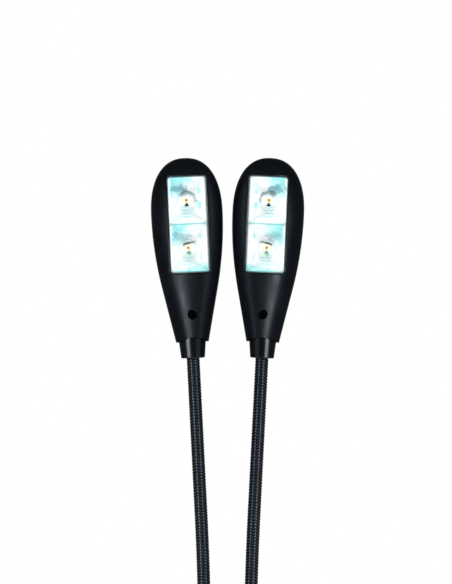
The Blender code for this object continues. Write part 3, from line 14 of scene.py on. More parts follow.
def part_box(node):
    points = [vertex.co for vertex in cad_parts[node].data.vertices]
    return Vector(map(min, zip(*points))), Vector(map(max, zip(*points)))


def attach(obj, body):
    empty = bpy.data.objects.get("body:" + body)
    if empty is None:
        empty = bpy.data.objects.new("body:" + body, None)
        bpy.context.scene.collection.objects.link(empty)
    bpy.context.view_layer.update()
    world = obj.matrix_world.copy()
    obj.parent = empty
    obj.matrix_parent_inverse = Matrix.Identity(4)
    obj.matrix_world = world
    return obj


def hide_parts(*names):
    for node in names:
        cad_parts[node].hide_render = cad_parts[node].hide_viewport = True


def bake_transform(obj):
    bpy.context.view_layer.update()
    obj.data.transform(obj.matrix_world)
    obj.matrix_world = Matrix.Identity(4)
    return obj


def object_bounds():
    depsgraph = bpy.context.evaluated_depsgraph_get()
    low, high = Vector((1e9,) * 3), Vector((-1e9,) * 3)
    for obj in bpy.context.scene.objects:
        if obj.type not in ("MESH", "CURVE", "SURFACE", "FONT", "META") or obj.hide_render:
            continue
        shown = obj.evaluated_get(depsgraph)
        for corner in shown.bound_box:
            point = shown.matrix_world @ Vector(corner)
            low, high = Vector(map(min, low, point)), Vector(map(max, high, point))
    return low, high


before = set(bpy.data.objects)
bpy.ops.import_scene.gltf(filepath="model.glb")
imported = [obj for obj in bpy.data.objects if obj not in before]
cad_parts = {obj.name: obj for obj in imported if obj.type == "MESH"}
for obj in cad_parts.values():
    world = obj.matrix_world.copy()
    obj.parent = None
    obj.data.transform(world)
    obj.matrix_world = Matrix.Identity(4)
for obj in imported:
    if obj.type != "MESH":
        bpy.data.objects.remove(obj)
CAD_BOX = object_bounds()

MM = 0.001
DEG = math.pi / 180.0
LOG = logging.getLogger("music_stand_light")

Point = Sequence[float]
Ring = List[Point]
Flat = Tuple[float, float]
Value = Union["Signal", float, Sequence[float], bpy.types.ID]
Body = Union[str, "Between"]


class Side(Enum):
    """The two lamps, as seen in the photograph."""

    LEFT = -1
    RIGHT = 1

    @property
    def label(self) -> str:
        """Return the word that starts the names of this side's nodes."""
        return self.name.lower()


class Slot(Enum):
    """Names of material slots that new pieces are given with; nothing reads them."""

    SATIN = "satin_black_plastic"
    GLOSS = "gloss_black_plastic"
    STEEL = "black_steel"
    RUBBER = "black_rubber"
    BRIGHT = "bright_steel"
    CHROME = "chrome_cup"
    LENS = "clear_lens"
    RESIN = "led_resin"
    CELL = "cell_wrap"
    LEAD = "red_lead"


# Node trees

def operator(operation: str, swapped: bool = False) -> Callable[["Signal", Value], "Signal"]:
    """Return a method that puts two values through a Math node, in the other order if swapped."""
    def method(self: "Signal", other: Value) -> "Signal":
        """Return the node's result."""
        values = (other, self) if swapped else (self, other)
        return self.graph.node("ShaderNodeMath", {"operation": operation}, dict(enumerate(values)))
    return method


class Signal:
    """A socket of a node tree that takes part in sums."""

    __add__ = __radd__ = operator("ADD")
    __mul__ = __rmul__ = operator("MULTIPLY")
    __sub__ = operator("SUBTRACT")
    __rsub__ = operator("SUBTRACT", swapped=True)
    __truediv__ = operator("DIVIDE")

    def __init__(self, graph: "Graph", socket: Optional[bpy.types.NodeSocket]) -> None:
        """Keep the tree and the socket, of which an output node has none."""
        self.graph = graph
        self.socket = socket

    def __abs__(self) -> "Signal":
        """Return the size without the sign."""
        return self.call("ABSOLUTE")

    def call(self, operation: str, *values: Value) -> "Signal":
        """Return an operation of the Math node on this value, and on others if it takes them."""
        return self.graph.node("ShaderNodeMath", {"operation": operation}, dict(enumerate((self, *values))))

    def sibling(self, output: Union[int, str]) -> "Signal":
        """Return another output of the same node."""
        return Signal(self.graph, self.socket.node.outputs[output])

    def band(self, low: float, high: float) -> "Signal":
        """Return 0 below low and 1 above high, smooth between."""
        return self.graph.node("ShaderNodeMapRange", {"interpolation_type": "SMOOTHSTEP"},
                               {"Value": self, "From Min": low, "From Max": high})

    def fade(self, low: float, high: float) -> "Signal":
        """Return 1 below low and 0 above high, smooth between."""
        return 1 - self.band(low, high)


def radius(first: Signal, second: Signal) -> Signal:
    """Return how far a point is from the middle, from its two coordinates."""
    return (first * first + second * second).call("SQRT")


class Graph:
    """A node tree that is filled by calls."""

    def __init__(self, tree: bpy.types.NodeTree) -> None:
        """Keep the tree."""
        self.tree = tree

    def node(self, kind: str, settings: Optional[Dict[str, object]] = None,
             inputs: Optional[Dict[Union[int, str], Value]] = None,
             output: Union[int, str] = 0) -> Signal:
        """Add a node.

        Args:
            kind: the node's type.
            settings: its settings; "items" names what a Capture Attribute node keeps, as (type, name) pairs.
            inputs: values or signals of its sockets, by name or number.
            output: the socket to return.

        Returns:
            The signal of the chosen output.
        """
        item = self.tree.nodes.new(kind)
        for key, value in (settings or {}).items():
            if key == "items":
                for socket_type, name in value:
                    item.capture_items.new(socket_type, name)
            else:
                setattr(item, key, value)
        for key, value in (inputs or {}).items():
            self.feed(item.inputs[key], value)
        return Signal(self, item.outputs[output] if len(item.outputs) else None)

    def feed(self, socket: bpy.types.NodeSocket, value: Union[Value, List[Signal]]) -> None:
        """Link one or more signals to a socket, or set the socket's own value."""
        signals = value if isinstance(value, list) else [value]
        if isinstance(signals[0], Signal):
            for signal in signals:
                self.tree.links.new(signal.socket, socket)
        else:
            socket.default_value = (*value, 1.0) if socket.type == "RGBA" else value

    def vector(self, operation: str, *values: Value, output: str = "Vector") -> Signal:
        """Return the result of a Vector Math node."""
        return self.node("ShaderNodeVectorMath", {"operation": operation}, dict(enumerate(values)), output)

    def scaled(self, vector: Signal, factor: Value) -> Signal:
        """Return a vector times a number."""
        return self.node("ShaderNodeVectorMath", {"operation": "SCALE"}, {0: vector, "Scale": factor})


class Paint(Graph):
    """The node tree of one material."""

    def __init__(self, name: str) -> None:
        """Create an empty material."""
        self.material = bpy.data.materials.new(name)
        self.material.use_nodes = True
        self.material.node_tree.nodes.clear()
        super().__init__(self.material.node_tree)

    def place(self) -> Signal:
        """Return the object's own coordinates, in metres."""
        return self.node("ShaderNodeTexCoord", output="Object")

    def axis(self, number: int, centre: float = 0.0) -> Signal:
        """Return one coordinate, counted from a centre, in millimetres."""
        apart = self.node("ShaderNodeSeparateXYZ", inputs={0: self.place()}, output=number)
        return (apart - centre) / MM

    def noise(self, size: float, detail: float = 3.0, stretch: Point = (1, 1, 1)) -> Signal:
        """Return noise between 0 and 1 whose lumps have about a size in metres.

        Args:
            size: the lumps' size.
            detail: how many finer layers it has.
            stretch: how many times longer the lumps are along each axis.
        """
        scale = [1 / (size * share) for share in stretch]
        where = self.vector("MULTIPLY", self.place(), scale)
        return self.node("ShaderNodeTexNoise", inputs={"Vector": where, "Scale": 1.0, "Detail": detail})

    def mix(self, share: Value, low: Value, high: Value) -> Signal:
        """Return a colour between two."""
        return self.node("ShaderNodeMix", {"data_type": "RGBA"}, {0: share, 6: low, 7: high}, 2)

    def bump(self, height: Signal, depth: float, strength: float = 1.0) -> Signal:
        """Return a normal that follows a height between 0 and 1 over a depth in metres."""
        return self.node("ShaderNodeBump", inputs={"Height": height, "Distance": depth,
                                                   "Strength": strength})

    def shade(self, **sockets: Value) -> bpy.types.Material:
        """End the tree in a Principled shader whose sockets are named with _ for a space."""
        inputs = {key.replace("_", " "): value for key, value in sockets.items()}
        shader = self.node("ShaderNodeBsdfPrincipled", inputs=inputs)
        self.node("ShaderNodeOutputMaterial", inputs={"Surface": shader})
        return self.material


# Finishes

class Finish:
    """A finish whose material is made once and shared."""

    name: str

    def paint(self, paint: Paint) -> bpy.types.Material:
        """Fill the material's tree and return the material."""
        raise NotImplementedError

    @cache
    def material(self) -> bpy.types.Material:
        """Return the finish's material, made on first use."""
        return self.paint(Paint(self.name))


@dataclass(frozen=True)
class MouldedPlastic(Finish):
    """Injection-moulded plastic: fine grain, soft smears and a faint change of tone."""

    name: str
    colour: Point
    pale: Point
    roughness: float
    smear: float
    grain: float
    grain_depth: float
    specular: float = 0.4

    def paint(self, paint: Paint) -> bpy.types.Material:
        """Fill the tree."""
        tone = paint.noise(9 * MM, 4.0)
        smears = paint.noise(3.5 * MM, 5.0, (1, 1, 3)).band(0.35, 0.75)
        fine = paint.noise(self.grain, 2.0)
        specks = paint.noise(0.9 * MM, 1.0).band(0.70, 0.78)
        colour = paint.mix(tone.band(0.3, 0.7) * 0.6 + specks * 0.25, self.colour, self.pale)
        rough = smears * self.smear + self.roughness + fine * 0.05
        return paint.shade(Base_Color=colour, Roughness=rough, Specular_IOR_Level=self.specular,
                           Normal=paint.bump(fine, self.grain_depth))


@dataclass(frozen=True)
class NeckSteel(Finish):
    """Blackened spring steel, rubbed brighter on the crests of the ribs."""

    name: str = "neck_steel"
    colour: Point = (0.0025, 0.0035, 0.0055)
    crest: Point = (0.020, 0.025, 0.034)

    def paint(self, paint: Paint) -> bpy.types.Material:
        """Fill the tree."""
        height = paint.node("ShaderNodeAttribute", {"attribute_name": "crest"}, output="Fac")
        patchy = paint.noise(2.4 * MM, 4.0, (1, 1, 3))
        worn = height.band(0.60, 1.0) * (patchy.band(0.25, 0.75) * 0.7 + 0.3)
        scratches = paint.noise(0.25 * MM, 3.0, (6, 6, 1))
        return paint.shade(Base_Color=paint.mix(worn, self.colour, self.crest), Metallic=0.3,
                           Roughness=0.20 + scratches * 0.12 - worn * 0.08, Specular_IOR_Level=0.5,
                           Normal=paint.bump(scratches, 0.002 * MM))


@dataclass(frozen=True)
class BrightMetal(Finish):
    """Drawn or rolled bright steel with fine lines along it and a few dull spots."""

    name: str
    lines: Point
    colour: Point = (0.62, 0.63, 0.65)
    dull: Point = (0.36, 0.35, 0.33)
    roughness: float = 0.20

    def paint(self, paint: Paint) -> bpy.types.Material:
        """Fill the tree."""
        brushed = paint.noise(0.12 * MM, 2.0, self.lines)
        spots = paint.noise(1.6 * MM, 5.0).band(0.56, 0.72)
        return paint.shade(Base_Color=paint.mix(spots * 0.7, self.colour, self.dull), Metallic=1.0,
                           Roughness=brushed * 0.18 + self.roughness + spots * 0.2,
                           Normal=paint.bump(brushed, 0.006 * MM))


@dataclass(frozen=True)
class RubberSkin(Finish):
    """Dull black rubber with a pebbled grain and a little pale dust."""

    name: str = "pad_rubber"

    def paint(self, paint: Paint) -> bpy.types.Material:
        """Fill the tree."""
        where = paint.vector("MULTIPLY", paint.place(), [1 / (0.6 * MM)] * 3)
        pebbles = paint.node("ShaderNodeTexVoronoi", {"feature": "SMOOTH_F1"},
                             {"Vector": where, "Scale": 1.0})
        dust = paint.noise(4 * MM, 6.0).band(0.5, 0.8)
        return paint.shade(Base_Color=paint.mix(dust * 0.5, (0.012, 0.012, 0.013), (0.045, 0.044, 0.042)),
                           Roughness=0.72 + pebbles * 0.2, Specular_IOR_Level=0.35,
                           Normal=paint.bump(pebbles, 0.05 * MM))


@dataclass(frozen=True)
class ReflectorSkin(Finish):
    """Bright plating of a head's two reflector cups, with painted reflections of its lamps and a pale
    blue-green room, and a painted glow.

    Its places are counted in millimetres from the middle between the head's two lamps, and x is counted
    towards the other head, because the two heads are each other's mirror image.
    """

    name: str
    centre: Point
    turn: Point
    pitch: float
    inward: float
    metal: float = 0.35
    glow: float = 0.62
    # Painted reflection colours: white for the lamps, and cyan, slate, olive, moss, orange and green for the
    # room.
    bright: Point = (0.98, 1.0, 1.0)
    cast: Point = (0.34, 0.84, 0.85)
    slate: Point = (0.15, 0.40, 0.48)
    olive: Point = (0.14, 0.20, 0.16)
    moss: Point = (0.035, 0.045, 0.020)
    ember: Point = (0.85, 0.45, 0.10)
    leaf: Point = (0.36, 0.62, 0.48)

    def paint(self, paint: Paint) -> bpy.types.Material:
        """Fill the tree."""
        local = paint.node("ShaderNodeMapping", {"vector_type": "TEXTURE"},
                           {"Vector": paint.place(), "Location": self.centre, "Rotation": self.turn})
        parts = paint.node("ShaderNodeSeparateXYZ", inputs={0: local})
        x, height = parts / MM * self.inward, parts.sibling(2) / MM
        rise = height.call("FLOORED_MODULO", self.pitch) - self.pitch / 2
        upper = height.band(-0.2, 0.2)
        lower = 1 - upper
        fine = paint.noise(1.8 * MM) - 0.5
        broad = paint.noise(4.5 * MM, 1.0) - 0.5

        def spot(middle_x: float, middle_rise: float, wide: float, tall: float) -> Signal:
            """Return a soft ellipse, from its middle and its half sizes."""
            return (radius((x - middle_x) / wide, (rise - middle_rise) / tall) + fine * 2).fade(0.5, 1.1)

        # Each mask below places a painted reflection: cyan corners, spots, ripples and seams, slate patches
        # and arches, an olive arc, a moss line with an orange edge, and a green patch.
        away = radius(x, rise) + fine
        corner = (rise * 0.9 - x + broad * 10 + fine * 3).band(3.5, 10.5) * (x + fine).band(-6.6, -5.8)
        cyan_reflection_spots = (spot(4.9, 3.5, 0.8, 1.4) + spot(4.9, -2.1, 0.9, 2.2)) * upper
        cyan_reflection_spots = cyan_reflection_spots + (spot(4.9, 4.1, 0.6, 1.0) + spot(4.9, -3.6, 0.5, 2.8) * 0.6) * lower
        rings = (x * x * 0.5 + rise * rise).call("SQRT") + fine * 0.8
        ripples = (rings * 5.2).call("SINE").band(0.1, 0.95) * abs(x).fade(0.9, 3.6)
        ripples = ripples * (rise + fine * 2).fade(-2.8, -2.0) * rise.band(-7.6, -6.0)
        arch = away.band(1.5, 2.0) * away.fade(3.3, 3.9) * (rise - abs(x) * 0.4 + fine * 2).band(0.2, 1.2)
        arc = away.band(3.0, 3.3) * away.fade(3.6, 4.1) * (rise + x * 0.7 + fine * 3).band(0.4, 2.0)
        tilt = rise - 1.15 - (x + 1.9) * 0.25 + fine * 0.3
        reach = x.band(-2.2, -1.7) * x.fade(2.2, 2.9) * lower
        foot = (height + fine * 4 - x * 0.25).fade(-18.2, -15.8) * lower
        layers = ((corner * 0.9 + cyan_reflection_spots * 0.8 + foot * 0.8, self.cast),
                  (ripples * 0.95, self.cast),
                  (spot(-2.9, 4.3, 4.2, 2.2) * (upper * 0.35 + 0.45), self.slate),
                  (arch * (upper * 0.45 + 0.25) * (fine + 0.8), self.slate),
                  (arc * (upper * 0.5 + 0.1), self.olive),
                  (spot(0.35, -2.1, 1.5, 1.7) * lower * 0.75, self.leaf),
                  (abs(tilt + 0.36).fade(0.06, 0.22) * reach * x.fade(0.2, 1.6) * 0.7, self.ember),
                  (abs(tilt).fade(0.24, 0.54) * reach * 0.85, self.moss),
                  (abs(abs(rise) - self.pitch / 2).fade(0.1, 0.6) * 0.7, self.cast))
        shade: Value = self.bright
        for share, colour in layers:
            shade = paint.mix(share, shade, colour)
        # The emission is a painted glow that keeps the plating bright whatever light falls on it.
        return paint.shade(Base_Color=shade, Metallic=self.metal, Roughness=fine * 0.10 + 0.27,
                           Emission_Color=shade, Emission_Strength=self.glow,
                           Normal=paint.bump(fine, 0.02 * MM, 0.5))


@dataclass(frozen=True)
class ClearPlastic(Finish):
    """Clear moulded plastic or resin."""

    name: str
    colour: Point = (0.97, 1.0, 1.0)
    roughness: float = 0.01
    bending: float = 1.49

    def paint(self, paint: Paint) -> bpy.types.Material:
        """Fill the tree."""
        waves = paint.noise(5 * MM, 2.0)
        smears = paint.noise(2.5 * MM, 5.0).band(0.55, 0.9)
        return paint.shade(Base_Color=self.colour, Roughness=self.roughness + smears * 0.05,
                           Transmission_Weight=1.0, IOR=self.bending,
                           Normal=paint.bump(waves, 0.02 * MM, 0.4))


@dataclass(frozen=True)
class Phosphor(Finish):
    """The orange-yellow drop over an LED's chip."""

    name: str = "led_phosphor"

    def paint(self, paint: Paint) -> bpy.types.Material:
        """Fill the tree."""
        grains = paint.noise(0.15 * MM, 3.0)
        colour = paint.mix(grains, (0.95, 0.40, 0.04), (1.0, 0.58, 0.12))
        return paint.shade(Base_Color=colour, Roughness=0.55, Emission_Color=colour, Emission_Strength=0.35)


@dataclass(frozen=True)
class ToneSkin(Finish):
    """A soft skin between two tones, which may have a little painted glow."""

    name: str
    lump: float
    colour: Point
    pale: Point
    roughness: float
    glow: float = 0.0

    def paint(self, paint: Paint) -> bpy.types.Material:
        """Fill the tree."""
        tone = paint.noise(self.lump)
        colour = paint.mix(tone, self.colour, self.pale)
        glow = {"Emission_Color": colour, "Emission_Strength": self.glow} if self.glow else {}
        return paint.shade(Base_Color=colour, Roughness=tone * 0.1 + self.roughness,
                           Normal=paint.bump(tone, 0.02 * MM), **glow)


@dataclass(frozen=True)
class PrintedBoard(Finish):
    """Circuit board: lacquered glass cloth over tracks, and dark cases that stand before its face."""

    name: str
    colour: Point
    track: Point
    face: float = -1.0
    case: Point = (0.012, 0.013, 0.015)

    def paint(self, paint: Paint) -> bpy.types.Material:
        """Fill the tree."""
        lanes = (paint.axis(2) * 1.9).call("SINE").band(0.55, 0.75)
        breaks = paint.noise(5 * MM, 0.0).band(0.47, 0.50)
        cloth = (paint.axis(0) * 11.0).call("SINE") * (paint.axis(2) * 11.0).call("SINE") * 0.5 + 0.5
        tracks = lanes * breaks
        cases = paint.axis(1, self.face).fade(-0.02, -0.01)
        board = paint.mix(tracks, self.colour, self.track)
        return paint.shade(Base_Color=paint.mix(cases, board, self.case),
                           Roughness=0.32 + cloth * 0.12, Normal=paint.bump(tracks + cloth * 0.1, 0.03 * MM))


@dataclass(frozen=True)
class CellWrap(Finish):
    """Plain shrink wrap of a cell: dark body, bright ring near one end and a metal nub."""

    name: str
    low: float
    high: float
    upright: bool
    body: Point = (0.030, 0.085, 0.20)
    ring: Point = (0.62, 0.64, 0.66)

    def paint(self, paint: Paint) -> bpy.types.Material:
        """Fill the tree."""
        share = (paint.axis(2, self.low) * MM) / (self.high - self.low)
        share = share if self.upright else 1 - share
        metal = share.band(0.965, 0.972) + share.fade(0.004, 0.010)
        ring = share.band(0.72, 0.725) * share.fade(0.90, 0.905)
        smears = paint.noise(3 * MM, 4.0)
        colour = paint.mix(ring, self.body, self.ring)
        colour = paint.mix(metal, colour, (0.70, 0.69, 0.66))
        return paint.shade(Base_Color=colour, Metallic=metal.band(0, 1),
                           Roughness=0.22 + smears * 0.2, Normal=paint.bump(smears, 0.03 * MM))


SATIN = MouldedPlastic("satin_black", (0.0022, 0.0036, 0.0060), (0.0042, 0.0062, 0.0095), 0.30, 0.10,
                       0.16 * MM, 0.008 * MM, 0.34)
GLOSS = MouldedPlastic("gloss_black", (0.0018, 0.0028, 0.0045), (0.0035, 0.0048, 0.0070), 0.17, 0.06,
                       0.5 * MM, 0.002 * MM, 0.5)
STEEL = NeckSteel()
WIRE = BrightMetal("spring_wire", (6, 1, 1))
PIN = BrightMetal("pin_steel", (40, 1, 1))
SCREWS = BrightMetal("screw_steel", (1, 40, 1), (0.30, 0.31, 0.33), (0.14, 0.13, 0.12), 0.26)
# Painted shade: the head screws are nearly black so that their recess reads dark.
SCREW_DARK_FOR_SHADE = BrightMetal("screw_blackened", (1, 40, 1), (0.010, 0.011, 0.013), (0.02, 0.02, 0.02), 0.35)
CONTACTS = BrightMetal("contact_plating", (1, 1, 20), (0.70, 0.70, 0.69), (0.48, 0.45, 0.38), 0.24)
RUBBER = RubberSkin()
LENS = ClearPlastic("lens_clear")
RESIN = ClearPlastic("led_clear", (1.0, 1.0, 1.0), 0.0, 1.15)
# The LED posts' lead frame comes in two copies: dark green for the upper LED, in painted shade, and pale
# green with a painted glow for the lower LED, in painted light.
FRAME = BrightMetal("led_frame", (1, 1, 1), (0.030, 0.060, 0.040), (0.010, 0.020, 0.014), 0.3)
FRAME_PAINTED_LIT = ToneSkin("led_frame_pale", 0.7 * MM, (0.30, 0.50, 0.38), (0.55, 0.72, 0.58), 0.30, 0.30)
PHOSPHOR = Phosphor()
LEAD = ToneSkin("lead_sheath", 1.5 * MM, (0.30, 0.02, 0.02), (0.42, 0.04, 0.03), 0.38)
WHITE_BOARD = PrintedBoard("led_board_white", (0.80, 0.81, 0.80), (0.70, 0.72, 0.70))
GREEN_BOARD = PrintedBoard("switch_board_green", (0.010, 0.075, 0.030), (0.020, 0.120, 0.050), -0.0115)


# Shapes

@dataclass(frozen=True)
class Between:
    """Where a piece lies across the joint between two bodies; the points are in millimetres."""

    first: str
    second: str
    start: Point
    end: Point


def shown(name: str, data: bpy.types.ID) -> bpy.types.Object:
    """Return a new object, linked to the scene."""
    item = bpy.data.objects.new(name, data)
    bpy.context.scene.collection.objects.link(item)
    return item


def made_mesh(item: bpy.types.Object, layers: bool = False) -> bpy.types.Mesh:
    """Return the mesh that an object's modifiers make, with all its attributes if asked."""
    bpy.context.view_layer.update()
    graph = bpy.context.evaluated_depsgraph_get()
    return bpy.data.meshes.new_from_object(item.evaluated_get(graph), preserve_all_data_layers=layers,
                                           depsgraph=graph)


def round_points(sides: int) -> List[Flat]:
    """Return the points of a unit circle."""
    return [(math.cos(2 * math.pi * step / sides), math.sin(2 * math.pi * step / sides))
            for step in range(sides)]


def squared(value: float, power: float) -> float:
    """Return a coordinate of a unit circle moved out to a squarer curve, whose power is 2 for round."""
    return math.copysign(abs(value) ** (2 / power), value)


def quads(rows: Sequence[Tuple[int, int]], sides: int) -> List[Tuple[int, ...]]:
    """Return the faces between pairs of rings of points."""
    return [(low * sides + a, low * sides + (a + 1) % sides, high * sides + (a + 1) % sides,
             high * sides + a) for low, high in rows for a in range(sides)]


def set_at(place: Point, axis: str = "X", degrees: float = 90.0) -> Matrix:
    """Return the matrix that turns a body about an axis and sets it at a place."""
    return Matrix.Translation(place) @ Matrix.Rotation(degrees * DEG, 4, axis)


def boolean(operation: str) -> Callable[["Shape", "Shape"], "Shape"]:
    """Return a method that works two bodies into one by a boolean operation."""
    def method(self: "Shape", other: "Shape") -> "Shape":
        """Return the result."""
        return self.worked("BOOLEAN", {"operation": operation, "solver": "EXACT"}, other)
    return method


class Shape:
    """A closed body under construction, in millimetres."""

    cut, join, keep = boolean("DIFFERENCE"), boolean("UNION"), boolean("INTERSECT")

    def __init__(self, mesh: bpy.types.Mesh) -> None:
        """Keep the mesh."""
        self.mesh = mesh

    @classmethod
    def of(cls, points: Sequence[Point], faces: Sequence[Sequence[int]]) -> "Shape":
        """Return a body of points and faces."""
        mesh = bpy.data.meshes.new("shape")
        mesh.from_pydata([tuple(point) for point in points], [], [tuple(face) for face in faces])
        return cls(mesh).welded(1e-5)

    @classmethod
    def loft(cls, rings: Sequence[Ring]) -> "Shape":
        """Return a body through rings of equal counts, closed by a fan at each end."""
        sides, points = len(rings[0]), [point for ring in rings for point in ring]
        faces = quads([(row, row + 1) for row in range(len(rings) - 1)], sides)
        for ring, first in ((rings[0], 0), (rings[-1], (len(rings) - 1) * sides)):
            points.append([sum(point[axis] for point in ring) / sides for axis in range(3)])
            faces += [(first + a, first + (a + 1) % sides, len(points) - 1) for a in range(sides)]
        return cls.of(points, faces)

    @classmethod
    def turned(cls, profile: Sequence[Flat], sides: int = 64, ring: bool = False) -> "Shape":
        """Return a body turned about Z.

        Args:
            profile: (radius, height) points down its outer side, from axis to axis unless it is a ring.
            sides: its number of sides.
            ring: whether the profile closes on itself.
        """
        points = [(far * across, far * up, z) for far, z in profile for across, up in round_points(sides)]
        rows = [(row, (row + 1) % len(profile)) for row in range(len(profile) if ring else len(profile) - 1)]
        return cls.of(points, quads(rows, sides))

    @classmethod
    def prism(cls, outline: Sequence[Flat], low: float, high: float) -> "Shape":
        """Return a (y, z) outline drawn out along X from low to high."""
        count = len(outline)
        points = [(x, y, z) for x in (low, high) for y, z in outline]
        faces = [(a, (a + 1) % count, count + (a + 1) % count, count + a) for a in range(count)]
        return cls.of(points, [*faces, range(count), range(count, 2 * count)])

    @classmethod
    def rod(cls, radius: float, start: Point, end: Point, sides: int = 48) -> "Shape":
        """Return a round rod between two points."""
        run = Vector(end) - Vector(start)
        turn = run.to_track_quat("Z", "Y").to_matrix().to_4x4()
        body = cls.turned([(0, run.length), (radius, run.length), (radius, 0), (0, 0)], sides)
        return body.placed(Matrix.Translation(Vector(start)) @ turn)

    @classmethod
    def block(cls, low: Point, high: Point) -> "Shape":
        """Return a plain block, for cutting only."""
        outline = [(low[1], low[2]), (high[1], low[2]), (high[1], high[2]), (low[1], high[2])]
        return cls.prism(outline, low[0], high[0])

    @classmethod
    @classmethod
    def node(cls, name: str) -> "Shape":
        """Return a copy of a CAD node's body, welded and with its flat faces whole."""
        body = cls(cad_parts[name].data.copy()).placed(Matrix.Scale(1 / MM, 4)).welded(0.002)
        return body.edited(lambda form: bmesh.ops.dissolve_limit(
            form, angle_limit=0.4 * DEG, verts=form.verts, edges=form.edges))

    @classmethod
    def soften(cls, node: str, width: float, word: str, finish: Finish, slot: Slot, body: str) -> None:
        """Make a CAD node's own body, with eased edges, a finished piece named by the node and a word."""
        cls.node(node).eased(width).piece(f"{node}_{word}", finish, slot, body, [node])

    def edited(self, work: Callable[[bmesh.types.BMesh], object]) -> "Shape":
        """Change the mesh by a function of a BMesh."""
        form = bmesh.new()
        form.from_mesh(self.mesh)
        work(form)
        form.to_mesh(self.mesh)
        form.free()
        return self

    def welded(self, distance: float, turn: bool = True) -> "Shape":
        """Weld doubles, fill small holes, and turn the faces outwards where the body has no hollow."""
        def work(form: bmesh.types.BMesh) -> None:
            """Do it."""
            bmesh.ops.remove_doubles(form, verts=form.verts, dist=distance)
            bmesh.ops.dissolve_degenerate(form, edges=form.edges, dist=distance)
            bmesh.ops.holes_fill(form, edges=[edge for edge in form.edges if edge.is_boundary], sides=4)
            if turn:
                bmesh.ops.recalc_face_normals(form, faces=form.faces)
        return self.edited(work)

    def gathered(self, low: Point, high: Point, spot: Point) -> "Shape":
        """Return the shape with its points in a box moved onto one spot and welded there."""
        for vertex in self.mesh.vertices:
            if all(low[axis] <= vertex.co[axis] <= high[axis] for axis in range(3)):
                vertex.co = spot
        return self.welded(0.001)

    def placed(self, matrix: Matrix) -> "Shape":
        """Return a copy moved by a matrix."""
        mesh = self.mesh.copy()
        mesh.transform(matrix)
        return Shape(mesh)

    def worked(self, kind: str, settings: Dict[str, object], other: Optional["Shape"] = None) -> "Shape":
        """Return the body after one modifier, which may use another body."""
        items = [shown("work", shape.mesh) for shape in (self, other) if shape]
        step = items[0].modifiers.new("step", kind)
        if other:
            step.object = items[1]
        for key, value in settings.items():
            setattr(step, key, value)
        made = Shape(made_mesh(items[0]))
        for item in items:
            bpy.data.objects.remove(item)
        return made.welded(1e-4, False) if kind == "BOOLEAN" else made

    def eased(self, width: float) -> "Shape":
        """Return the body with its sharp edges rounded over a width."""
        return self.worked("BEVEL", {"width": width, "segments": 2, "limit_method": "ANGLE",
                                     "angle_limit": 36 * DEG, "use_clamp_overlap": False})

    def piece(self, name: str, finish: Finish, slot: Slot, body: Body, nodes: Sequence[str] = (),
              place: Matrix = Matrix(), angle: float = 32.0) -> bpy.types.Object:
        """Make the body a finished piece.

        Args:
            name: the piece's name.
            finish: what it is painted with.
            slot: the slot of that finish; not used.
            body: the CAD body it rides on, or the two that it lies between, to neither of which it is tied.
            nodes: the CAD nodes it stands for.
            place: where it goes, in millimetres.
            angle: the angle in degrees between faces up to which an edge is shaded round.
        """
        self.mesh.shade_smooth()
        self.mesh.set_sharp_from_angle(angle=angle * DEG)
        mesh = self.worked("WEIGHTED_NORMAL", {"keep_sharp": True, "weight": 50}).mesh
        mesh.transform(Matrix.Scale(MM, 4) @ place)
        return mount(name, mesh, finish, body, nodes)


def mount(name: str, mesh: bpy.types.Mesh, finish: Finish, body: Body,
          nodes: Sequence[str] = ()) -> bpy.types.Object:
    """Put a finished mesh, in metres and in its place, on its body, or leave it in place if it lies between
    two, and report it.

    The other arguments are those of Shape.piece.

    Returns:
        The piece.
    """
    mesh.name = name
    mesh.materials.clear()
    mesh.materials.append(finish.material())
    piece = shown(name, mesh)
    if isinstance(body, Between):
        [value * MM for value in body.start]
        [value * MM for value in body.end]
        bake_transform(piece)
    else:
        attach(piece, body)
    if nodes:
        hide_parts(*nodes)
    LOG.info("%s: %d faces, on %s", name, len(mesh.polygons), body)
    return piece


def dress(finish: Finish, *nodes: str) -> None:
    """Give CAD nodes whose shape stays a finish."""
    for node in nodes:
        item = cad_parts[node]
        if not item.material_slots:
            item.data.materials.append(None)
        for place in item.material_slots:
            place.material = finish.material()
        LOG.info("%s: kept, in %s", node, finish.name)


def eased_line(points: Sequence[Point], radius: float, steps: int = 5, closed: bool = False) -> List[Tuple]:
    """Return a line with its corners rounded.

    Args:
        points: the corners, with any number of coordinates.
        radius: how far from each corner the rounding starts.
        steps: the number of parts of each rounding.
        closed: whether the line closes on itself.
    """
    line: List[Tuple] = []
    for index, point in enumerate(points):
        here = Vector(point)
        if not closed and index in (0, len(points) - 1):
            line.append(tuple(here))
            continue
        before, after = Vector(points[index - 1]) - here, Vector(points[(index + 1) % len(points)]) - here
        start = here + before.normalized() * min(radius, before.length * 0.48)
        end = here + after.normalized() * min(radius, after.length * 0.48)
        for step in range(steps + 1):
            share = step / steps
            place = start * (1 - share) ** 2 + here * (2 * share * (1 - share)) + end * share ** 2
            line.append(tuple(place))
    return line


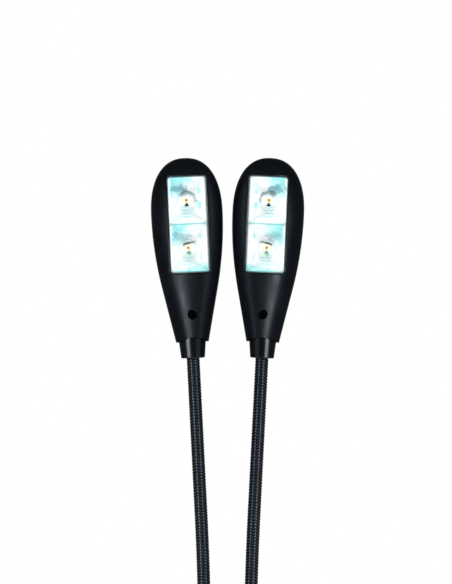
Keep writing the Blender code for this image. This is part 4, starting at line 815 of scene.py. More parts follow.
def rounded_outline(width: float, height: float, corner: float, steps: int = 8,
                    edge_steps: int = 10) -> List[Flat]:
    """Return a rounded rectangle's (x, z) points, with points along its sides too.

    Args:
        width: its width.
        height: its height.
        corner: the radius of its corners.
        steps: the number of parts of each corner.
        edge_steps: the number of parts of each side.
    """
    outline: List[Flat] = []
    for number, (right, up) in enumerate(((1, -1), (1, 1), (-1, 1), (-1, -1))):
        centre = (right * (width / 2 - corner), up * (height / 2 - corner))
        first = (number - 1) * 90 * DEG
        arc = [(centre[0] + corner * math.cos(first + 90 * DEG * step / steps),
                centre[1] + corner * math.sin(first + 90 * DEG * step / steps)) for step in range(steps + 1)]
        if outline:
            outline += between(outline[-1], arc[0], edge_steps)
        outline += arc
    return outline + between(outline[-1], outline[0], edge_steps)


def between(start: Flat, end: Flat, steps: int) -> List[Flat]:
    """Return the points that part a run into equal steps, without its ends."""
    return [(start[0] + (end[0] - start[0]) * step / steps, start[1] + (end[1] - start[1]) * step / steps)
            for step in range(1, steps)]


# Necks, leads and springs

@dataclass(frozen=True)
class WoundTube:
    """A tube along a path whose skin is wound into ribs, made by Geometry Nodes; sizes in millimetres."""

    radius: float
    pitch: float
    depth: float
    starts: int
    sides: int
    step: float
    bore: float = 0.0

    def tree(self, graph: Graph) -> None:
        """Fill the tree: path, tube, bore, ribs, crest attribute, material."""
        face = graph.tree.interface
        for name, kind in (("Path", "Geometry"), ("Radius", "Float"), ("Bore", "Float"), ("Pitch", "Float"),
                           ("Depth", "Float"), ("Starts", "Float"), ("Start", "Float"), ("Step", "Float"),
                           ("Sides", "Int"), ("Finish", "Material")):
            face.new_socket(name, in_out="INPUT", socket_type=f"NodeSocket{kind}")
        face.new_socket("Tube", in_out="OUTPUT", socket_type="NodeSocketGeometry")
        given = graph.node("NodeGroupInput")
        size = given.sibling
        path = graph.node("GeometryNodeMeshToCurve", inputs={"Mesh": given})
        path = graph.node("GeometryNodeResampleCurve", {"mode": "LENGTH"},
                          {"Curve": path, "Length": size("Step")})
        length = graph.node("GeometryNodeSplineParameter", output="Length")
        path = graph.node("GeometryNodeCaptureAttribute", {"items": [("FLOAT", "Along")]},
                          {0: path, 1: length})
        along = path.sibling(1)
        inner = size("Bore") if self.bore else size("Radius")
        circle = graph.node("GeometryNodeCurvePrimitiveCircle", {"mode": "RADIUS"},
                            {"Resolution": size("Sides"), "Radius": inner})
        tube = graph.node("GeometryNodeCurveToMesh", inputs={"Curve": path, "Profile Curve": circle,
                                                             "Fill Caps": not self.bore})
        tube = graph.node("GeometryNodeCaptureAttribute", {"items": [("VECTOR", "Outward")]},
                          {0: tube, 1: graph.node("GeometryNodeInputNormal")})
        outward = tube.sibling(1)
        skin, outside = tube, True
        if self.bore:
            skin = graph.node("GeometryNodeExtrudeMesh", {"mode": "FACES"},
                              {"Mesh": tube, "Offset": graph.scaled(outward, size("Radius") - inner),
                               "Offset Scale": 1.0, "Individual": False})
            outside = skin.sibling("Top")
        parts = graph.node("ShaderNodeSeparateXYZ", inputs={0: outward})
        turn = parts.sibling(1).call("ARCTAN2", parts) / (2 * math.pi)
        phase = ((along + size("Start")) / size("Pitch") + turn * size("Starts")).call("FLOORED_MODULO", 1.0)
        swing = phase * 2 - 1
        crest = (1 - swing * swing).call("MAXIMUM", 0.0).call("SQRT")
        sunk = graph.scaled(outward, (crest - 1) * size("Depth"))
        skin = graph.node("GeometryNodeSetPosition",
                          inputs={"Geometry": skin, "Selection": outside, "Offset": sunk})
        skin = graph.node("GeometryNodeStoreNamedAttribute", {"data_type": "FLOAT", "domain": "POINT"},
                          {"Geometry": skin, "Selection": outside, "Name": "crest", "Value": crest})
        if self.bore:
            wall = graph.node("GeometryNodeFlipFaces", inputs={"Mesh": tube})
            skin = graph.node("GeometryNodeJoinGeometry", inputs={"Geometry": [skin, wall]})
            skin = graph.node("GeometryNodeMergeByDistance",
                              inputs={"Geometry": skin, "Distance": 0.001 * MM})
        skin = graph.node("GeometryNodeRealizeInstances", inputs={"Geometry": skin})
        skin = graph.node("GeometryNodeSetMaterial", inputs={"Geometry": skin, "Material": size("Finish")})
        graph.node("NodeGroupOutput", inputs={0: skin})

    def mesh(self, path: Sequence[Point], finish: Finish, start: float = 0.0) -> bpy.types.Mesh:
        """Return the tube along a path.

        Args:
            path: points in millimetres.
            finish: the material it is given.
            start: how far along the whole tube the path starts, in millimetres.

        Returns:
            A closed mesh in metres.
        """
        name = "wound_tube_bored" if self.bore else "wound_tube"
        tree = bpy.data.node_groups.get(name)
        if tree is None:
            tree = bpy.data.node_groups.new(name, "GeometryNodeTree")
            self.tree(Graph(tree))
        line = bpy.data.meshes.new("path")
        line.from_pydata([[value * MM for value in point] for point in path],
                         [(index, index + 1) for index in range(len(path) - 1)], [])
        item = shown("path", line)
        step = item.modifiers.new("tube", "NODES")
        step.node_group = tree
        values = {"Radius": self.radius * MM, "Bore": self.bore / 2 * MM, "Pitch": self.pitch * MM,
                  "Depth": self.depth * MM, "Starts": float(self.starts), "Start": start * MM,
                  "Step": self.step * MM, "Sides": self.sides, "Finish": finish.material()}
        for socket in tree.interface.items_tree:
            if socket.name in values:
                step[socket.identifier] = values[socket.name]
        made = made_mesh(item, layers=True)
        bpy.data.objects.remove(item)
        made.shade_smooth()
        made.set_sharp_from_angle(angle=70 * DEG)
        return made


@dataclass
class Neck:
    """One gooseneck with its lead; heights in millimetres above the socket's top."""

    side: Side
    y: float = -10.8
    foot_z: float = 68.3
    length: float = 190.0
    sections: int = 9
    low: float = -10.5
    in_ferrule: float = 5.0
    top_x: float = 13.2502
    lean: float = 2.9009 * DEG
    lean_length: float = 60.0
    curve_length: float = 58.0
    lead_low: float = -15.8
    coil: WoundTube = WoundTube(2.58, 1.15, 0.36, 1, 28, 1.15 / 8, 2.4)
    wires: WoundTube = WoundTube(0.7, 5.0, 0.30, 2, 16, 0.5)
    path_step: float = 1.5
    tail_bend: float = 2.5

    def point(self, height: float) -> Point:
        """Return a point on the centre line."""
        below_top = self.length - height
        fall = below_top
        if below_top > self.lean_length:
            into = min(below_top - self.lean_length, self.curve_length)
            fall = self.lean_length + into * (1 - into / (2 * self.curve_length))
        return (self.side.value * (self.top_x - math.tan(self.lean) * fall), self.y, self.foot_z + height)

    def path(self, low: float, high: float) -> List[Point]:
        """Return the centre line between two heights."""
        steps = max(int((high - low) / self.path_step), 2)
        return [self.point(low + (high - low) * step / steps) for step in range(steps + 1)]

    def spans(self, low: float) -> List[Tuple[float, float, Body]]:
        """Return the runs that a long piece is parted into, each with the body it rides on or the two it
        lies between.
        """
        label, pitch = self.side.label, self.length / self.sections
        necks = (f"{label}_neck_{number}" for number in range(1, self.sections - 1))
        bodies = ["base", *necks, f"{label}_head"]
        ends = [low, *(pitch * (number + 0.5) for number in range(self.sections)),
                self.length + self.in_ferrule]
        joints = [Between(bodies[number], bodies[number + 1], self.point(start), self.point(end))
                  for number, (start, end) in enumerate(zip(ends[1:], ends[2:-1]))]
        return list(zip(ends, ends[1:], ["base", *joints, bodies[-1]]))

    def lay(self, word: str, tube: WoundTube, finish: Finish, low: float, nodes: Sequence[str],
            tail: Sequence[Point] = ()) -> None:
        """Lay a tube along the neck, one piece for each joint and one for each end.

        Args:
            word: the word in the pieces' names.
            tube: the tube.
            finish: what it is painted with.
            low: the height at which it starts.
            nodes: the CAD nodes that the pieces stand for, from the base up.
            tail: where it runs on in the head.
        """
        along = 0.0
        for number, (start, end, body) in enumerate(self.spans(low)):
            path = self.path(start, end)
            if tail and number == self.sections:
                path += eased_line([path[-1], *tail], self.tail_bend, 6)[1:]
            mesh = tube.mesh(path, finish, along)
            along += sum(math.dist(a, b) for a, b in zip(path, path[1:]))
            mount(f"{self.side.label}_{word}_{number}", mesh, finish, body, nodes[number:number + 1])

    def build(self, tail: Sequence[Point]) -> None:
        """Make the ribbed tube and the twisted lead inside it, on to its tail in the head."""
        label = self.side.label
        names = [f"{label}_neck_{number}" for number in range(self.sections)]
        self.lay("gooseneck", self.coil, STEEL, self.low, names)
        self.lay("wire", self.wires, LEAD, self.lead_low, [f"{label}_lead"], tail)


# Lamp heads

@dataclass(frozen=True)
class HeadForm:
    """A head's sizes in millimetres: x runs across it, y to the rear and z up from the collar's foot."""

    rim_z: float = 6.2
    floor_z: float = 13.0
    crown_z: float = 55.69
    top: float = 77.05
    half_width: float = 13.81
    front: float = 8.0
    rear: float = 7.0
    rim_radius: float = 6.3
    knee_share: float = 0.576
    wall: float = 1.6
    gap: float = 0.3
    arch: float = 1.9
    arch_width: float = 10.8
    window: Flat = (14.3, 36.7)
    opening: Flat = (14.3, 36.2)
    opening_z: float = 51.35
    corner: float = 0.7
    draft: float = 0.4
    bezel: float = 0.6
    window_z: float = 51.6
    ledge: float = 4.6
    cup_pitch: float = 18.35
    lens: Tuple[float, float] = (-4.3, -3.1)
    reflector: Tuple[float, float] = (-2.8, 2.2)
    led_foot: float = 2.2
    screw_z: float = 16.8
    screw_hole: float = 3.6
    screw_depth: float = 4.0
    boss: float = 6.0
    sides: int = 144
    levels: int = 84
    cup_sides: int = 72
    cup_steps: int = 14
    cup_floor: float = 3.2
    cup_wall: float = 0.25
    across_power: float = 2.3
    deep_power: float = 3.0

    def outline(self, height: float, greatest: float, power: float) -> float:
        """Return a half width or half depth at a height: cone, knee, then a curve over the crown."""
        if height >= self.crown_z:
            rise = min((height - self.crown_z) / (self.top + 0.01 - self.crown_z), 1)
            return greatest * (1 - rise ** power) ** (1 / power)
        fall, total = self.crown_z - height, self.crown_z - self.rim_z
        knee = self.knee_share * total
        slope = (greatest - self.rim_radius) / (total - knee / 2)
        return greatest - slope * (fall * fall / (2 * knee) if fall < knee else fall - knee / 2)

    def power(self, height: float) -> float:
        """Return how square the section is at a height."""
        return 2 + 0.6 * min((height - self.rim_z) / (self.crown_z - self.rim_z), 1)

    def surface(self, x: float, z: float) -> float:
        """Return the y of the front at a place."""
        half = self.outline(z, self.half_width, self.across_power)
        depth, power = self.outline(z, self.front, self.deep_power), self.power(z)
        return -depth * max(1 - min(abs(x) / half, 1) ** power, 0) ** (1 / power)

    def ring(self, height: float, sides: int, inset: float = 0.0, limit: float = 99.0) -> Ring:
        """Return a section of the head, drawn in by an inset and flat before a limit in front."""
        half, power = self.outline(height, self.half_width, self.across_power) - inset, self.power(height)
        depths = [self.outline(height, depth, self.deep_power) - inset for depth in (self.front, self.rear)]
        return [(half * squared(across, power), max(depths[away > 0] * squared(away, power), -limit), height)
                for across, away in round_points(sides)]

    def body(self, sides: int, levels: int, inset: float, low: float, high: float,
             limit: float = 99.0) -> Shape:
        """Return the head's outer or inner form between two heights."""
        heights = [low + (high - low) * math.sin(90 * DEG * step / levels) for step in range(levels + 1)]
        return Shape.loft([self.ring(height, sides, inset, limit) for height in heights])

    def ferrule_profile(self, room: float) -> List[Flat]:
        """Return the outer side of the part of the ferrule that the head holds, with some room round it."""
        return [(5.2 + room, 11.0 + room), (5.2 + room, 9.8 - room), (4.5 + room, 9.8 - room),
                (4.5 + room, 7.8 + room), (5.2 + room, 7.8 + room)]

    def window_cutter(self) -> Shape:
        """Return the cutter of the window, with a mouth that rolls over on to the curved front."""
        def mouth(wider: float, depth: float) -> Ring:
            """Return the window's outline, wider by some room and at a depth under the front."""
            outline = rounded_outline(self.opening[0] + 2 * wider, self.opening[1] + 2 * wider,
                                      self.corner + wider)
            return [(x, self.surface(x, self.opening_z + z) + depth, self.opening_z + z) for x, z in outline]
        outer = mouth(self.bezel + self.draft + 0.04, -0.8)
        rings = [[(x, -self.front - 2, z) for x, _, z in outer], outer]
        for step in range(9):
            angle = 90 * DEG * step / 8
            rings.append(mouth(self.draft + self.bezel * (1 - math.sin(angle)),
                               self.bezel * (1 - math.cos(angle)) + 0.003))
        inner = rounded_outline(self.opening[0] + 0.1, self.opening[1] + 0.1, self.corner)
        rings += [[(x, y, self.opening_z + z) for x, z in inner]
                  for y in (-self.ledge - 0.1, -self.ledge + 0.9)]
        return Shape.loft(rings)

    def panel(self, margin: float, low: float, high: float, corner: float = 1.2, ease: float = 0.0) -> Shape:
        """Return an upright rounded panel round the window's middle, with eased edges."""
        rows = [(low, 0.0), (high, 0.0)]
        if ease:
            rows = [(low, ease), (low + ease, 0.0), (high - ease, 0.0), (high, ease)]
        rings = []
        for y, inset in rows:
            wider = 2 * (margin - inset)
            outline = rounded_outline(self.window[0] + wider, self.window[1] + wider, corner - inset)
            rings.append([(x, y, self.window_z + z) for x, z in outline])
        return Shape.loft(rings)

    def shells(self) -> Tuple[Shape, Shape]:
        """Return the front and the rear shell."""
        reach = self.outline(self.screw_z, self.rear, self.deep_power) - self.wall / 2
        held = self.ferrule_profile(self.gap)
        seat = [(0, 14.0), (2.8, 14.0), (2.8, held[0][1]), *held, (held[0][0], 5.2), (0, 5.2)]
        radius = (self.arch_width ** 2 / 4 + self.arch ** 2) / (2 * self.arch)
        centre = self.rim_z + self.arch - radius
        whole = self.body(self.sides, self.levels, 0.0, self.rim_z, self.top)
        whole = whole.cut(self.body(64, 30, self.wall, self.floor_z, self.top - 1.45, self.ledge - 0.4))
        whole = whole.join(Shape.rod(self.boss / 2, (0, -reach, self.screw_z), (0, reach, self.screw_z)))
        whole = whole.cut(Shape.turned(seat, 71))
        whole = whole.cut(Shape.rod(radius, (0.002, -12.6, centre), (0.002, 12.6, centre), 173))
        whole = whole.cut(Shape.rod(1.1, (0.003, -4.9, self.screw_z), (0.003, 3.9, self.screw_z), 31))
        front = whole.keep(Shape.block((-30, -40, -5), (30, -self.gap / 2, 90)))
        rear = whole.keep(Shape.block((-30, self.gap / 2, -5), (30, 40, 90)))
        front = front.cut(self.panel(1.0, -self.ledge, 1.0)).cut(self.window_cutter())
        face, hole = self.surface(0, self.screw_z), self.screw_hole / 2
        mouth = [(0, 1.0), (hole + 0.45, 1.0), (hole + 0.42, -0.02), (hole + 0.2, -0.08),
                 (hole + 0.06, -0.22), (hole, -0.45), (hole, -self.screw_depth), (0, -self.screw_depth)]
        place = set_at((0.004, face, self.screw_z))
        return front.cut(Shape.turned(mouth, 63).placed(place)), rear

    def ferrule(self) -> Shape:
        """Return the collar between neck and head."""
        lower = eased_line([(5.2, 7.8), (5.2, self.rim_z), (4.6, 0.25), (4.35, 0), (2.8, 0)], 0.22, 4)
        return Shape.turned([(2.8, 11.0), *self.ferrule_profile(0)[:-1], *lower], 96, ring=True)

    def cup_ring(self, centre: float, y: float, half: Flat, power: float) -> Ring:
        """Return a section of a reflector cup, between round and nearly square."""
        return [(half[0] * squared(across, power), y, centre + half[1] * squared(up, power))
                for across, up in round_points(self.cup_sides)]

    def reflector_block(self) -> Shape:
        """Return the reflector: a block with two cups, each from a round floor to a nearly square mouth."""
        front, back = self.reflector
        block = self.panel(0.7, front, back, self.corner, 0.15)
        mouth = (self.window[0] / 2 - self.cup_wall, self.cup_pitch / 2 - self.cup_wall)
        floor, foot = self.cup_floor, back - 0.8
        for centre in self.lamp_heights():
            rings = [self.cup_ring(centre, y, (floor, floor), 2.0) for y in (back + 1.0, foot)]
            for step in range(1, self.cup_steps + 1):
                share = step / self.cup_steps
                spread = math.sqrt(share)
                half = (floor + (mouth[0] - floor) * spread, floor + (mouth[1] - floor) * spread)
                rings.append(self.cup_ring(centre, foot - (foot - front) * share, half,
                                           2 + 2 * share + 8 * share ** 3))
            rings.append([(x, y - 1.0, z) for x, y, z in rings[-1]])
            block = block.cut(Shape.loft(rings))
        return block

    def lamp_heights(self) -> List[float]:
        """Return the heights of the lower and the upper LED."""
        return [self.window_z - self.cup_pitch / 2, self.window_z + self.cup_pitch / 2]

    def led_place(self, height: float) -> Matrix:
        """Return the place of an LED whose foot is turned to the rear."""
        return set_at((0, self.led_foot, height))

    def led_resin(self) -> Shape:
        """Return an LED's clear body, standing on its foot."""
        dome = [(2.5 * math.sin(6 * DEG * step), 2.1 + 2.5 * math.cos(6 * DEG * step)) for step in range(16)]
        foot = eased_line([(2.5, 1.5), (2.5, 1.0), (2.9, 1.0), (2.9, 0), (0, 0)], 0.12, 3)
        return Shape.turned([*dome, *foot], 64)

    def led_cup(self) -> Shape:
        """Return the small cup that holds an LED's chip, with a wide skirt under the resin's flange; its
        brightness is a painted glow that fills what would show as shade.
        """
        return Shape.turned([(0, 1.75), (0.62, 1.75), (0.95, 2.2), (1.1, 2.1), (2.42, 1.3), (2.42, 0.9),
                             (2.86, 0.8), (2.86, 0.1), (0, 0.1)], 56)

    def led_drop(self) -> Shape:
        """Return the drop of phosphor in the cup."""
        arc = [(0.60 * math.sin(15 * DEG * step), 1.85 + 0.50 * math.cos(15 * DEG * step))
               for step in range(7)]
        return Shape.turned([*arc, (0, 1.78)], 40)

    def led_post(self) -> Shape:
        """Return the second post of an LED's frame, beside the cup."""
        corners = [(-0.1, -0.85), (0.3, -0.9), (0.45, -1.5), (0.95, -1.95), (0.5, -2.2), (0.1, -2.0),
                   (-0.5, -2.25), (-0.85, -1.95), (-0.35, -1.45)]
        outline = eased_line(corners, 0.1, 2, True)
        return Shape.loft([[(x, y, z) for x, y in outline] for z in (1.5, 2.4)])


@dataclass
class LampHead:
    """One lamp head on its neck."""

    side: Side
    form: HeadForm
    origin: Point = (13.2502, -10.8, 258.3)
    tilt: float = 2.5 * DEG
    toe_in: float = 5.0 * DEG

    @property
    def turn(self) -> Tuple[float, float, float]:
        """Return the head's rotation."""
        return (0.0, self.side.value * self.tilt, -self.side.value * self.toe_in)

    @property
    def place(self) -> Matrix:
        """Return the head's place, in millimetres."""
        shift = Matrix.Translation((self.side.value * self.origin[0], *self.origin[1:]))
        return shift @ Matrix.Rotation(self.turn[2], 4, "Z") @ Matrix.Rotation(self.turn[1], 4, "Y")

    def lead_tail(self) -> List[Point]:
        """Return where the lead runs inside the head, up to its board."""
        tail = [(0, 0, 11.6), (2.6, 0, 13.7), (5.2, 1.5, 16.4), (5.2, 1.5, 19.8), (1.73, 3.0, 29.1),
                (0, 3.0, 32.9), (0, 3.0, 34.3)]
        return [tuple(self.place @ Vector(point)) for point in tail]

    def build(self, shells: Tuple[Shape, Shape]) -> None:
        """Make and place the head's pieces.

        Args:
            shells: the front and the rear shell, which both heads share.
        """
        label, form, place, body = self.side.label, self.form, self.place, f"{self.side.label}_head"
        middle = place @ Vector((0, 0, form.window_z))
        mirror = (tuple(middle * MM), self.turn, form.cup_pitch, -self.side.value)
        plating = ReflectorSkin(f"{label}_plating", *mirror)
        # The LED cups' lining carries the plating's painted reflections, with a darker slate, no metal and a
        # stronger painted glow.
        lining_painted_light = ReflectorSkin(f"{label}_led_lining", *mirror, 0.0, 0.70, slate=(0.05, 0.17, 0.21))
        pane = form.panel(0.7, *form.lens, form.corner, 0.2)
        for shape, node, word, finish, slot, angle in (
                (shells[0], "front_shell", "moulding", SATIN, Slot.SATIN, 38),
                (shells[1], "rear_shell", "moulding", SATIN, Slot.SATIN, 38),
                (form.ferrule(), "ferrule", "collar", GLOSS, Slot.GLOSS, 32),
                (pane, "lens", "pane", LENS, Slot.LENS, 32),
                (form.reflector_block(), "reflector", "cups", plating, Slot.CHROME, 40)):
            shape.piece(f"{label}_{node}_{word}", finish, slot, body, [f"{label}_{node}"], place, angle)
        # The lower LED's post takes the painted-light copy of the frame, and the upper LED's post the
        # painted-shade copy.
        for height, node, post in zip(form.lamp_heights(), (f"{label}_lower_led", f"{label}_upper_led"),
                                      (FRAME_PAINTED_LIT, FRAME)):
            for shape, word, finish, slot in ((form.led_resin(), "resin", RESIN, Slot.RESIN),
                                              (form.led_cup(), "cup", lining_painted_light, Slot.BRIGHT),
                                              (form.led_drop(), "drop", PHOSPHOR, Slot.RESIN),
                                              (form.led_post(), "post", post, Slot.BRIGHT)):
                shape.piece(f"{node}_{word}", finish, slot, body, [node] if word == "resin" else [],
                            place @ form.led_place(height))
        # The head screw takes the nearly black finish that paints the recess's shade.
        Shape.soften(f"{label}_head_screw", 0.06, "steel", SCREW_DARK_FOR_SHADE, Slot.STEEL, body)
        dress(WHITE_BOARD, f"{label}_led_board")


# Base and clip

@dataclass
class Base:
    """The clip's base with its cells, switches and sockets; sizes in millimetres."""

    parting_y: float = -10.8
    front_y: float = -19.8
    foot_x: float = 8.74
    button_z: float = 46.0

    def build(self) -> None:
        """Make the base's pieces."""
        for node in ("front_housing", "rear_housing"):
            Shape.soften(node, 0.18, "moulding", SATIN, Slot.SATIN, "base")
        Shape.soften("battery_door", 0.2, "moulding", SATIN, Slot.SATIN, "battery_door")
        for side in Side:
            self.side_pieces(side)
        self.cells()
        dress(CONTACTS, "high_end_contact", "high_link_contact", "low_end_contact", "low_link_contact")
        dress(GREEN_BOARD, "switch_board")

    def side_pieces(self, side: Side) -> None:
        """Make the socket, button and screw of one side."""
        label, x = side.label, side.value * self.foot_x
        upper = eased_line([(2.8, 68.3), (4.3, 68.3), (5.2, 60.3), (4.0, 60.3)], 0.3, 4)
        socket = [*upper, (4.0, 57.7), (5.4, 57.7), (5.4, 56.5), (1.0, 56.5), (1.0, 57.5), (2.8, 57.5)]
        Shape.turned(socket, 96, ring=True).piece(
            f"{label}_socket_collar", GLOSS, Slot.GLOSS, "base", [f"{label}_socket"],
            Matrix.Translation((x, self.parting_y, 0)))
        face = eased_line([(0, 1.42), (2.2, 1.5), (3.6, 1.78), (4.85, 1.62), (5.0, 1.1)], 0.5, 5)
        button = [*face, (5.0, -2.3), (6.2, -2.3), (6.2, -3.1), (1.6, -3.1), (1.6, -5.9), (0, -5.9)]
        spot = set_at((x, self.front_y, self.button_z))
        Shape.turned(button, 72).piece(f"{label}_button_cap", GLOSS, Slot.GLOSS, f"{label}_button",
                                       [f"{label}_button"], spot)
        Shape.soften(f"{label}_housing_screw", 0.06, "steel", SCREWS, Slot.BRIGHT, "base")

    def cells(self) -> None:
        """Make the three cells, each the way round that the model has it."""
        for number in (1, 2, 3):
            node = f"cell_{number}"
            low, high = (Vector(corner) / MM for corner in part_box(node))
            centre, length = (low + high) / 2, high.z - low.z
            tops = [vertex.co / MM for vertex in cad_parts[node].data.vertices
                    if vertex.co.z / MM > high.z - 0.01]
            upright = max(math.hypot(point.x - centre.x, point.y - centre.y) for point in tops) < 3
            profile = eased_line([(0, length), (1.9, length), (1.9, length - 1.0), (5.25, length - 1.0),
                                  (5.25, 0), (0, 0)], 0.5, 4)
            flip = Matrix() if upright else set_at((0, 0, length), degrees=180)
            wrap = CellWrap(f"cell_wrap_{number}", low.z * MM, high.z * MM, upright)
            Shape.turned(profile, 64).piece(f"{node}_wrapped", wrap, Slot.CELL, "base", [node],
                                            Matrix.Translation((centre.x, centre.y, low.z)) @ flip)


@dataclass
class Clip:
    """The lever, pin, spring and pads; sizes in millimetres."""

    pivot: Flat = (9.0, 22.0)
    half_width: float = 15.0
    wire: WoundTube = WoundTube(0.6, 1.0, 0.0, 0, 20, 0.3)
    coil_radius: float = 3.4
    coil_turns: float = 4.5
    coil_half: float = 3.7125

    def build(self) -> None:
        """Make the clip's pieces."""
        lever = Shape.node("clip_lever").gathered((9.9, 25.4, 53.96), (15.1, 25.6, 54.1), (10, 25.5, 54))
        lever = lever.gathered((-15.1, 25.4, 53.96), (-9.9, 25.6, 54.1), (-10, 25.5, 54)).eased(0.18)
        lever.piece("clip_lever_moulding", SATIN, Slot.SATIN, "clip_lever", ["clip_lever"])
        self.pin()
        self.spring()
        self.pads()

    def pin(self) -> None:
        """Make the pin with a domed head at each end."""
        end = eased_line([(0, 15.6), (1.7, 15.6), (2.3, 15.2), (2.3, 14.6), (1.5, 14.6)], 0.3, 4)
        profile = [*end, *((radius, -z) for radius, z in reversed(end))]
        Shape.turned(profile, 48).piece("hinge_pin_steel", PIN, Slot.BRIGHT, "base", ["hinge_pin"],
                                        set_at((0, *self.pivot), "Y"))

    def spring(self) -> None:
        """Make the torsion spring, coiled about the pin between the base and the lever."""
        y, z = self.pivot
        steps = int(self.coil_turns * 28)
        coil = []
        for step in range(steps + 1):
            share = step / steps
            angle = math.pi + share * self.coil_turns * 2 * math.pi
            coil.append((self.coil_half * (2 * share - 1), y + self.coil_radius * math.cos(angle),
                         z + self.coil_radius * math.sin(angle)))
        base_leg = [(-self.coil_half, -0.9, z + 17), (-self.coil_half, -0.9, z + 14),
                    (-self.coil_half, y - 3.4, z + 3.4), coil[0]]
        lever_leg = [coil[-1], (self.coil_half, 12.32, z + 3.4), (self.coil_half, 13.613, z + 6.7),
                     (self.coil_half, 18.355, z + 17.7)]
        path = eased_line(base_leg, 1.5, 6)[:-1] + coil + eased_line(lever_leg, 1.5, 6)[1:]
        mesh = self.wire.mesh(path, WIRE)
        between_bodies = Between("base", "clip_lever", (-self.coil_half, y, z), (self.coil_half, y, z))
        mount("clip_spring_wire", mesh, WIRE, between_bodies, ["clip_spring"])

    def pads(self) -> None:
        """Make the two grooved rubber pads."""
        grooves = []
        for number in range(9):
            z = -9.6 + number * 2.4
            grooves += [(0, z - 0.55), (-0.35, z - 0.2), (-0.35, z + 0.2), (0, z + 0.55)]
        outline = [(-1.5, -15.5), (0.15, -15.5), (0.6, -14.9), (0.6, -14.2), (0.25, -13.9), (0.6, -13.6),
                   (0.6, -12.2), (-0.7, -11.85), (0, -11.5), *grooves, (0, 12), (-1.5, 12)]
        fixed = eased_line(outline, 0.12, 2, True)
        lip = [(0.9, -15.5), (2.4, -15.5), (2.4, -12.2), (0.9, -12.2), (0.9, -13.4), (1.2, -13.7),
               (0.9, -14.0)]
        for node, line, body in (("fixed_pad", fixed, "base"),
                                 ("moving_pad", eased_line(lip, 0.3, 4, True), "clip_lever")):
            Shape.prism(line, -self.half_width, self.half_width).piece(
                f"{node}_rubber", RUBBER, Slot.RUBBER, body, [node], angle=50)


# Studio

@dataclass(frozen=True)
class Softbox:
    """A soft lamp aimed at the heads; turned from the camera's direction, left negative."""

    name: str
    turn: float
    rise: float
    width: float
    height: float
    power: float
    colour: Point = (1.0, 1.0, 1.0)
    distance: float = 0.85

    def hang(self, aim: Point) -> bpy.types.Object:
        """Create the lamp, aim it at a point in metres and return it."""
        light = bpy.data.lights.new(self.name, "AREA")
        light.shape = "RECTANGLE"
        light.size, light.size_y = self.width, self.height
        light.energy, light.color = self.power, self.colour
        away = Vector((math.sin(self.turn * DEG) * math.cos(self.rise * DEG),
                       -math.cos(self.turn * DEG) * math.cos(self.rise * DEG), math.sin(self.rise * DEG)))
        item = shown(self.name, light)
        item.location = Vector(aim) + away * self.distance
        item.rotation_euler = away.to_track_quat("Z", "Y").to_euler()
        item.visible_camera = False
        return item


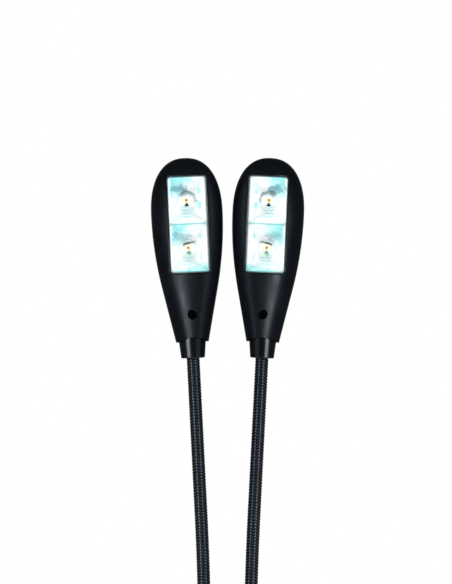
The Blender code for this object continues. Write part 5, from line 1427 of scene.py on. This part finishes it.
@dataclass
class Studio:
    """Pale floor, white surroundings, lamps and camera; lengths in metres."""

    centre: Tuple[float, float] = (-0.0006, 0.2837)
    object_y: float = -0.0108
    head_x: float = 0.016
    head_z: float = 0.27
    case_z: float = 0.05
    pixel: float = 0.000385
    distance: float = 1.3
    rows: int = 584
    floor_radius: float = 0.36
    ambient: float = 0.45
    room: float = 0.06

    def build(self) -> None:
        """Set the stage."""
        bpy.context.scene.view_settings.view_transform = "Standard"
        self.camera()
        self.world()
        self.floor()

    def light_pieces(self) -> None:
        """Light shells, stems and the rest each with lamps of their own, as the photograph shows them."""
        def named(group: Sequence[bpy.types.Object], *words: str) -> List[bpy.types.Object]:
            """Return the pieces of a group whose names hold one of some words."""
            return [item for item in group if any(word in item.name for word in words)]

        pieces = [item for item in bpy.context.scene.objects if item.type == "MESH"]
        shells, stems, collars = (named(pieces, word) for word in ("_shell_", "_gooseneck_", "_ferrule_"))
        rest = [item for item in pieces if item not in shells + stems + collars]
        optics = named(rest, "_led", "_lens", "_reflector", "_head_screw", "floor")
        case = [item for item in rest if item not in optics]
        cool, plain, sky = (0.62, 0.82, 1.0), (0.90, 0.97, 1.0), (0.77, 0.89, 1.0)
        self.linked(Softbox("top", 165, 60, 0.80, 0.50, 3.0, distance=0.90), rest)
        around = ((-38, 28, 5.0), (62, 18, 5.0), (150, 30, 6.0), (-118, 14, 4.0), (0, -40, 2.0), (8, 8, 1.2))
        for number, (turn, rise, power) in enumerate(around):
            lamp = Softbox(f"case_{number}", turn, rise, 0.30, 0.40, power, plain)
            self.linked(lamp, case, 0.0, self.case_z)
        self.linked(Softbox("behind", 180, 10, 0.12, 0.60, 0.5, cool), shells + stems + collars)
        plan = ((shells, "shell_lamp", 14, -12, 0.24, 0.30, 3.1, sky),
                (shells, "shell_edge", -50, 4, 0.20, 0.80, 0.8, cool),
                (stems, "stem_lamp", 38, 4, 0.15, 0.90, 5.5, plain),
                (stems, "stem_edge", -46, 4, 0.13, 0.90, 4.5, cool),
                (collars, "collar_lamp", 38, 4, 0.42, 0.90, 7.0, plain),
                (collars, "collar_edge", -52, 4, 0.60, 0.90, 0.8, cool))
        for side in Side:
            way, label = side.value, side.label
            for group, word, turn, *others in plan:
                own = [item for item in group if item.name.startswith(label)]
                self.linked(Softbox(f"{label}_{word}", way * turn, *others), own, way * self.head_x)
            strip = Softbox(f"{label}_strip", way * 42, 10, 0.40, 0.95, 2.6, plain)
            self.linked(strip, rest, way * self.head_x)

    def linked(self, lamp: Softbox, group: Sequence[bpy.types.Object], x: float = 0.0,
               height: Optional[float] = None) -> None:
        """Hang a lamp, aimed at the heads or at a height, that lights a group of pieces only."""
        receivers = bpy.data.collections.new(lamp.name)
        for item in group:
            receivers.objects.link(item)
        aim = (x, self.object_y, self.head_z if height is None else height)
        lamp.hang(aim).light_linking.receiver_collection = receivers

    def camera(self) -> None:
        """Place the camera of the photograph, level and square to the heads."""
        data = bpy.data.cameras.new("photo_camera")
        data.sensor_width = 36.0
        data.lens = data.sensor_width * self.distance / (self.rows * self.pixel)
        data.clip_end = 20.0
        item = shown("photo_camera", data)
        item.location = (self.centre[0], self.object_y - self.distance, self.centre[1])
        item.rotation_euler = (90 * DEG, 0, 0)
        bpy.context.scene.camera = item


    def world(self) -> None:
        """Make the surroundings: white behind the object, a dimmer room before it."""
        world = bpy.data.worlds.new("studio")
        bpy.context.scene.world = world
        world.use_nodes = True
        world.node_tree.nodes.clear()
        graph = Graph(world.node_tree)
        path = graph.node("ShaderNodeLightPath", output="Is Camera Ray")
        glossy = path.sibling("Is Glossy Ray").call("MAXIMUM", path.sibling("Is Transmission Ray"))
        way = graph.node("ShaderNodeTexCoord", output="Generated")
        behind = graph.node("ShaderNodeSeparateXYZ", inputs={0: way}, output=1).band(0.90, 0.99)
        dim = behind * (1 - self.room) + self.room
        strength = path.call("MAXIMUM", glossy * dim).call("MAXIMUM", (1 - glossy) * self.ambient)
        light = graph.node("ShaderNodeBackground", inputs={"Color": (1.0, 1.0, 1.0), "Strength": strength})
        graph.node("ShaderNodeOutputWorld", inputs={"Surface": light})

    def floor(self) -> None:
        """Lay a pale round floor that fades into the white background."""
        paint = Paint("pale_floor")
        place = paint.vector("MULTIPLY", paint.place(), (1, 1, 0))
        away = paint.vector("LENGTH", place, output="Value")
        grain = paint.noise(4 * MM, 4.0)
        tone = paint.mix(grain, (0.80, 0.80, 0.80), (0.84, 0.84, 0.84))
        plain = paint.node("ShaderNodeBsdfPrincipled", inputs={"Base Color": tone, "Roughness": 0.8})
        white = paint.node("ShaderNodeEmission", inputs={"Color": (1.0, 1.0, 1.0), "Strength": 1.0})
        edge = (away / self.floor_radius).band(0.35, 0.98)
        both = paint.node("ShaderNodeMixShader", inputs={0: edge, 1: plain, 2: white})
        paint.node("ShaderNodeOutputMaterial", inputs={"Surface": both})
        far, low = self.floor_radius / MM, CAD_BOX[0][2] / MM - 0.02
        rings = [[(far * x, far * y, z) for x, y in round_points(120)] for z in (low - 2, low)]
        mesh = Shape.loft(rings).mesh
        mesh.transform(Matrix.Scale(MM, 4))
        mesh.materials.append(paint.material)
        shown("floor", mesh)


def main() -> None:
    """Build the light and its stage, and report each piece."""
    logging.basicConfig(level=logging.INFO, format="%(message)s")
    studio = Studio()
    studio.build()
    form = HeadForm()
    shells = form.shells()
    for side in Side:
        head = LampHead(side, form)
        head.build(shells)
        Neck(side).build(head.lead_tail())
    Base().build()
    Clip().build()
    studio.light_pieces()


if __name__ == "__main__":
    main()
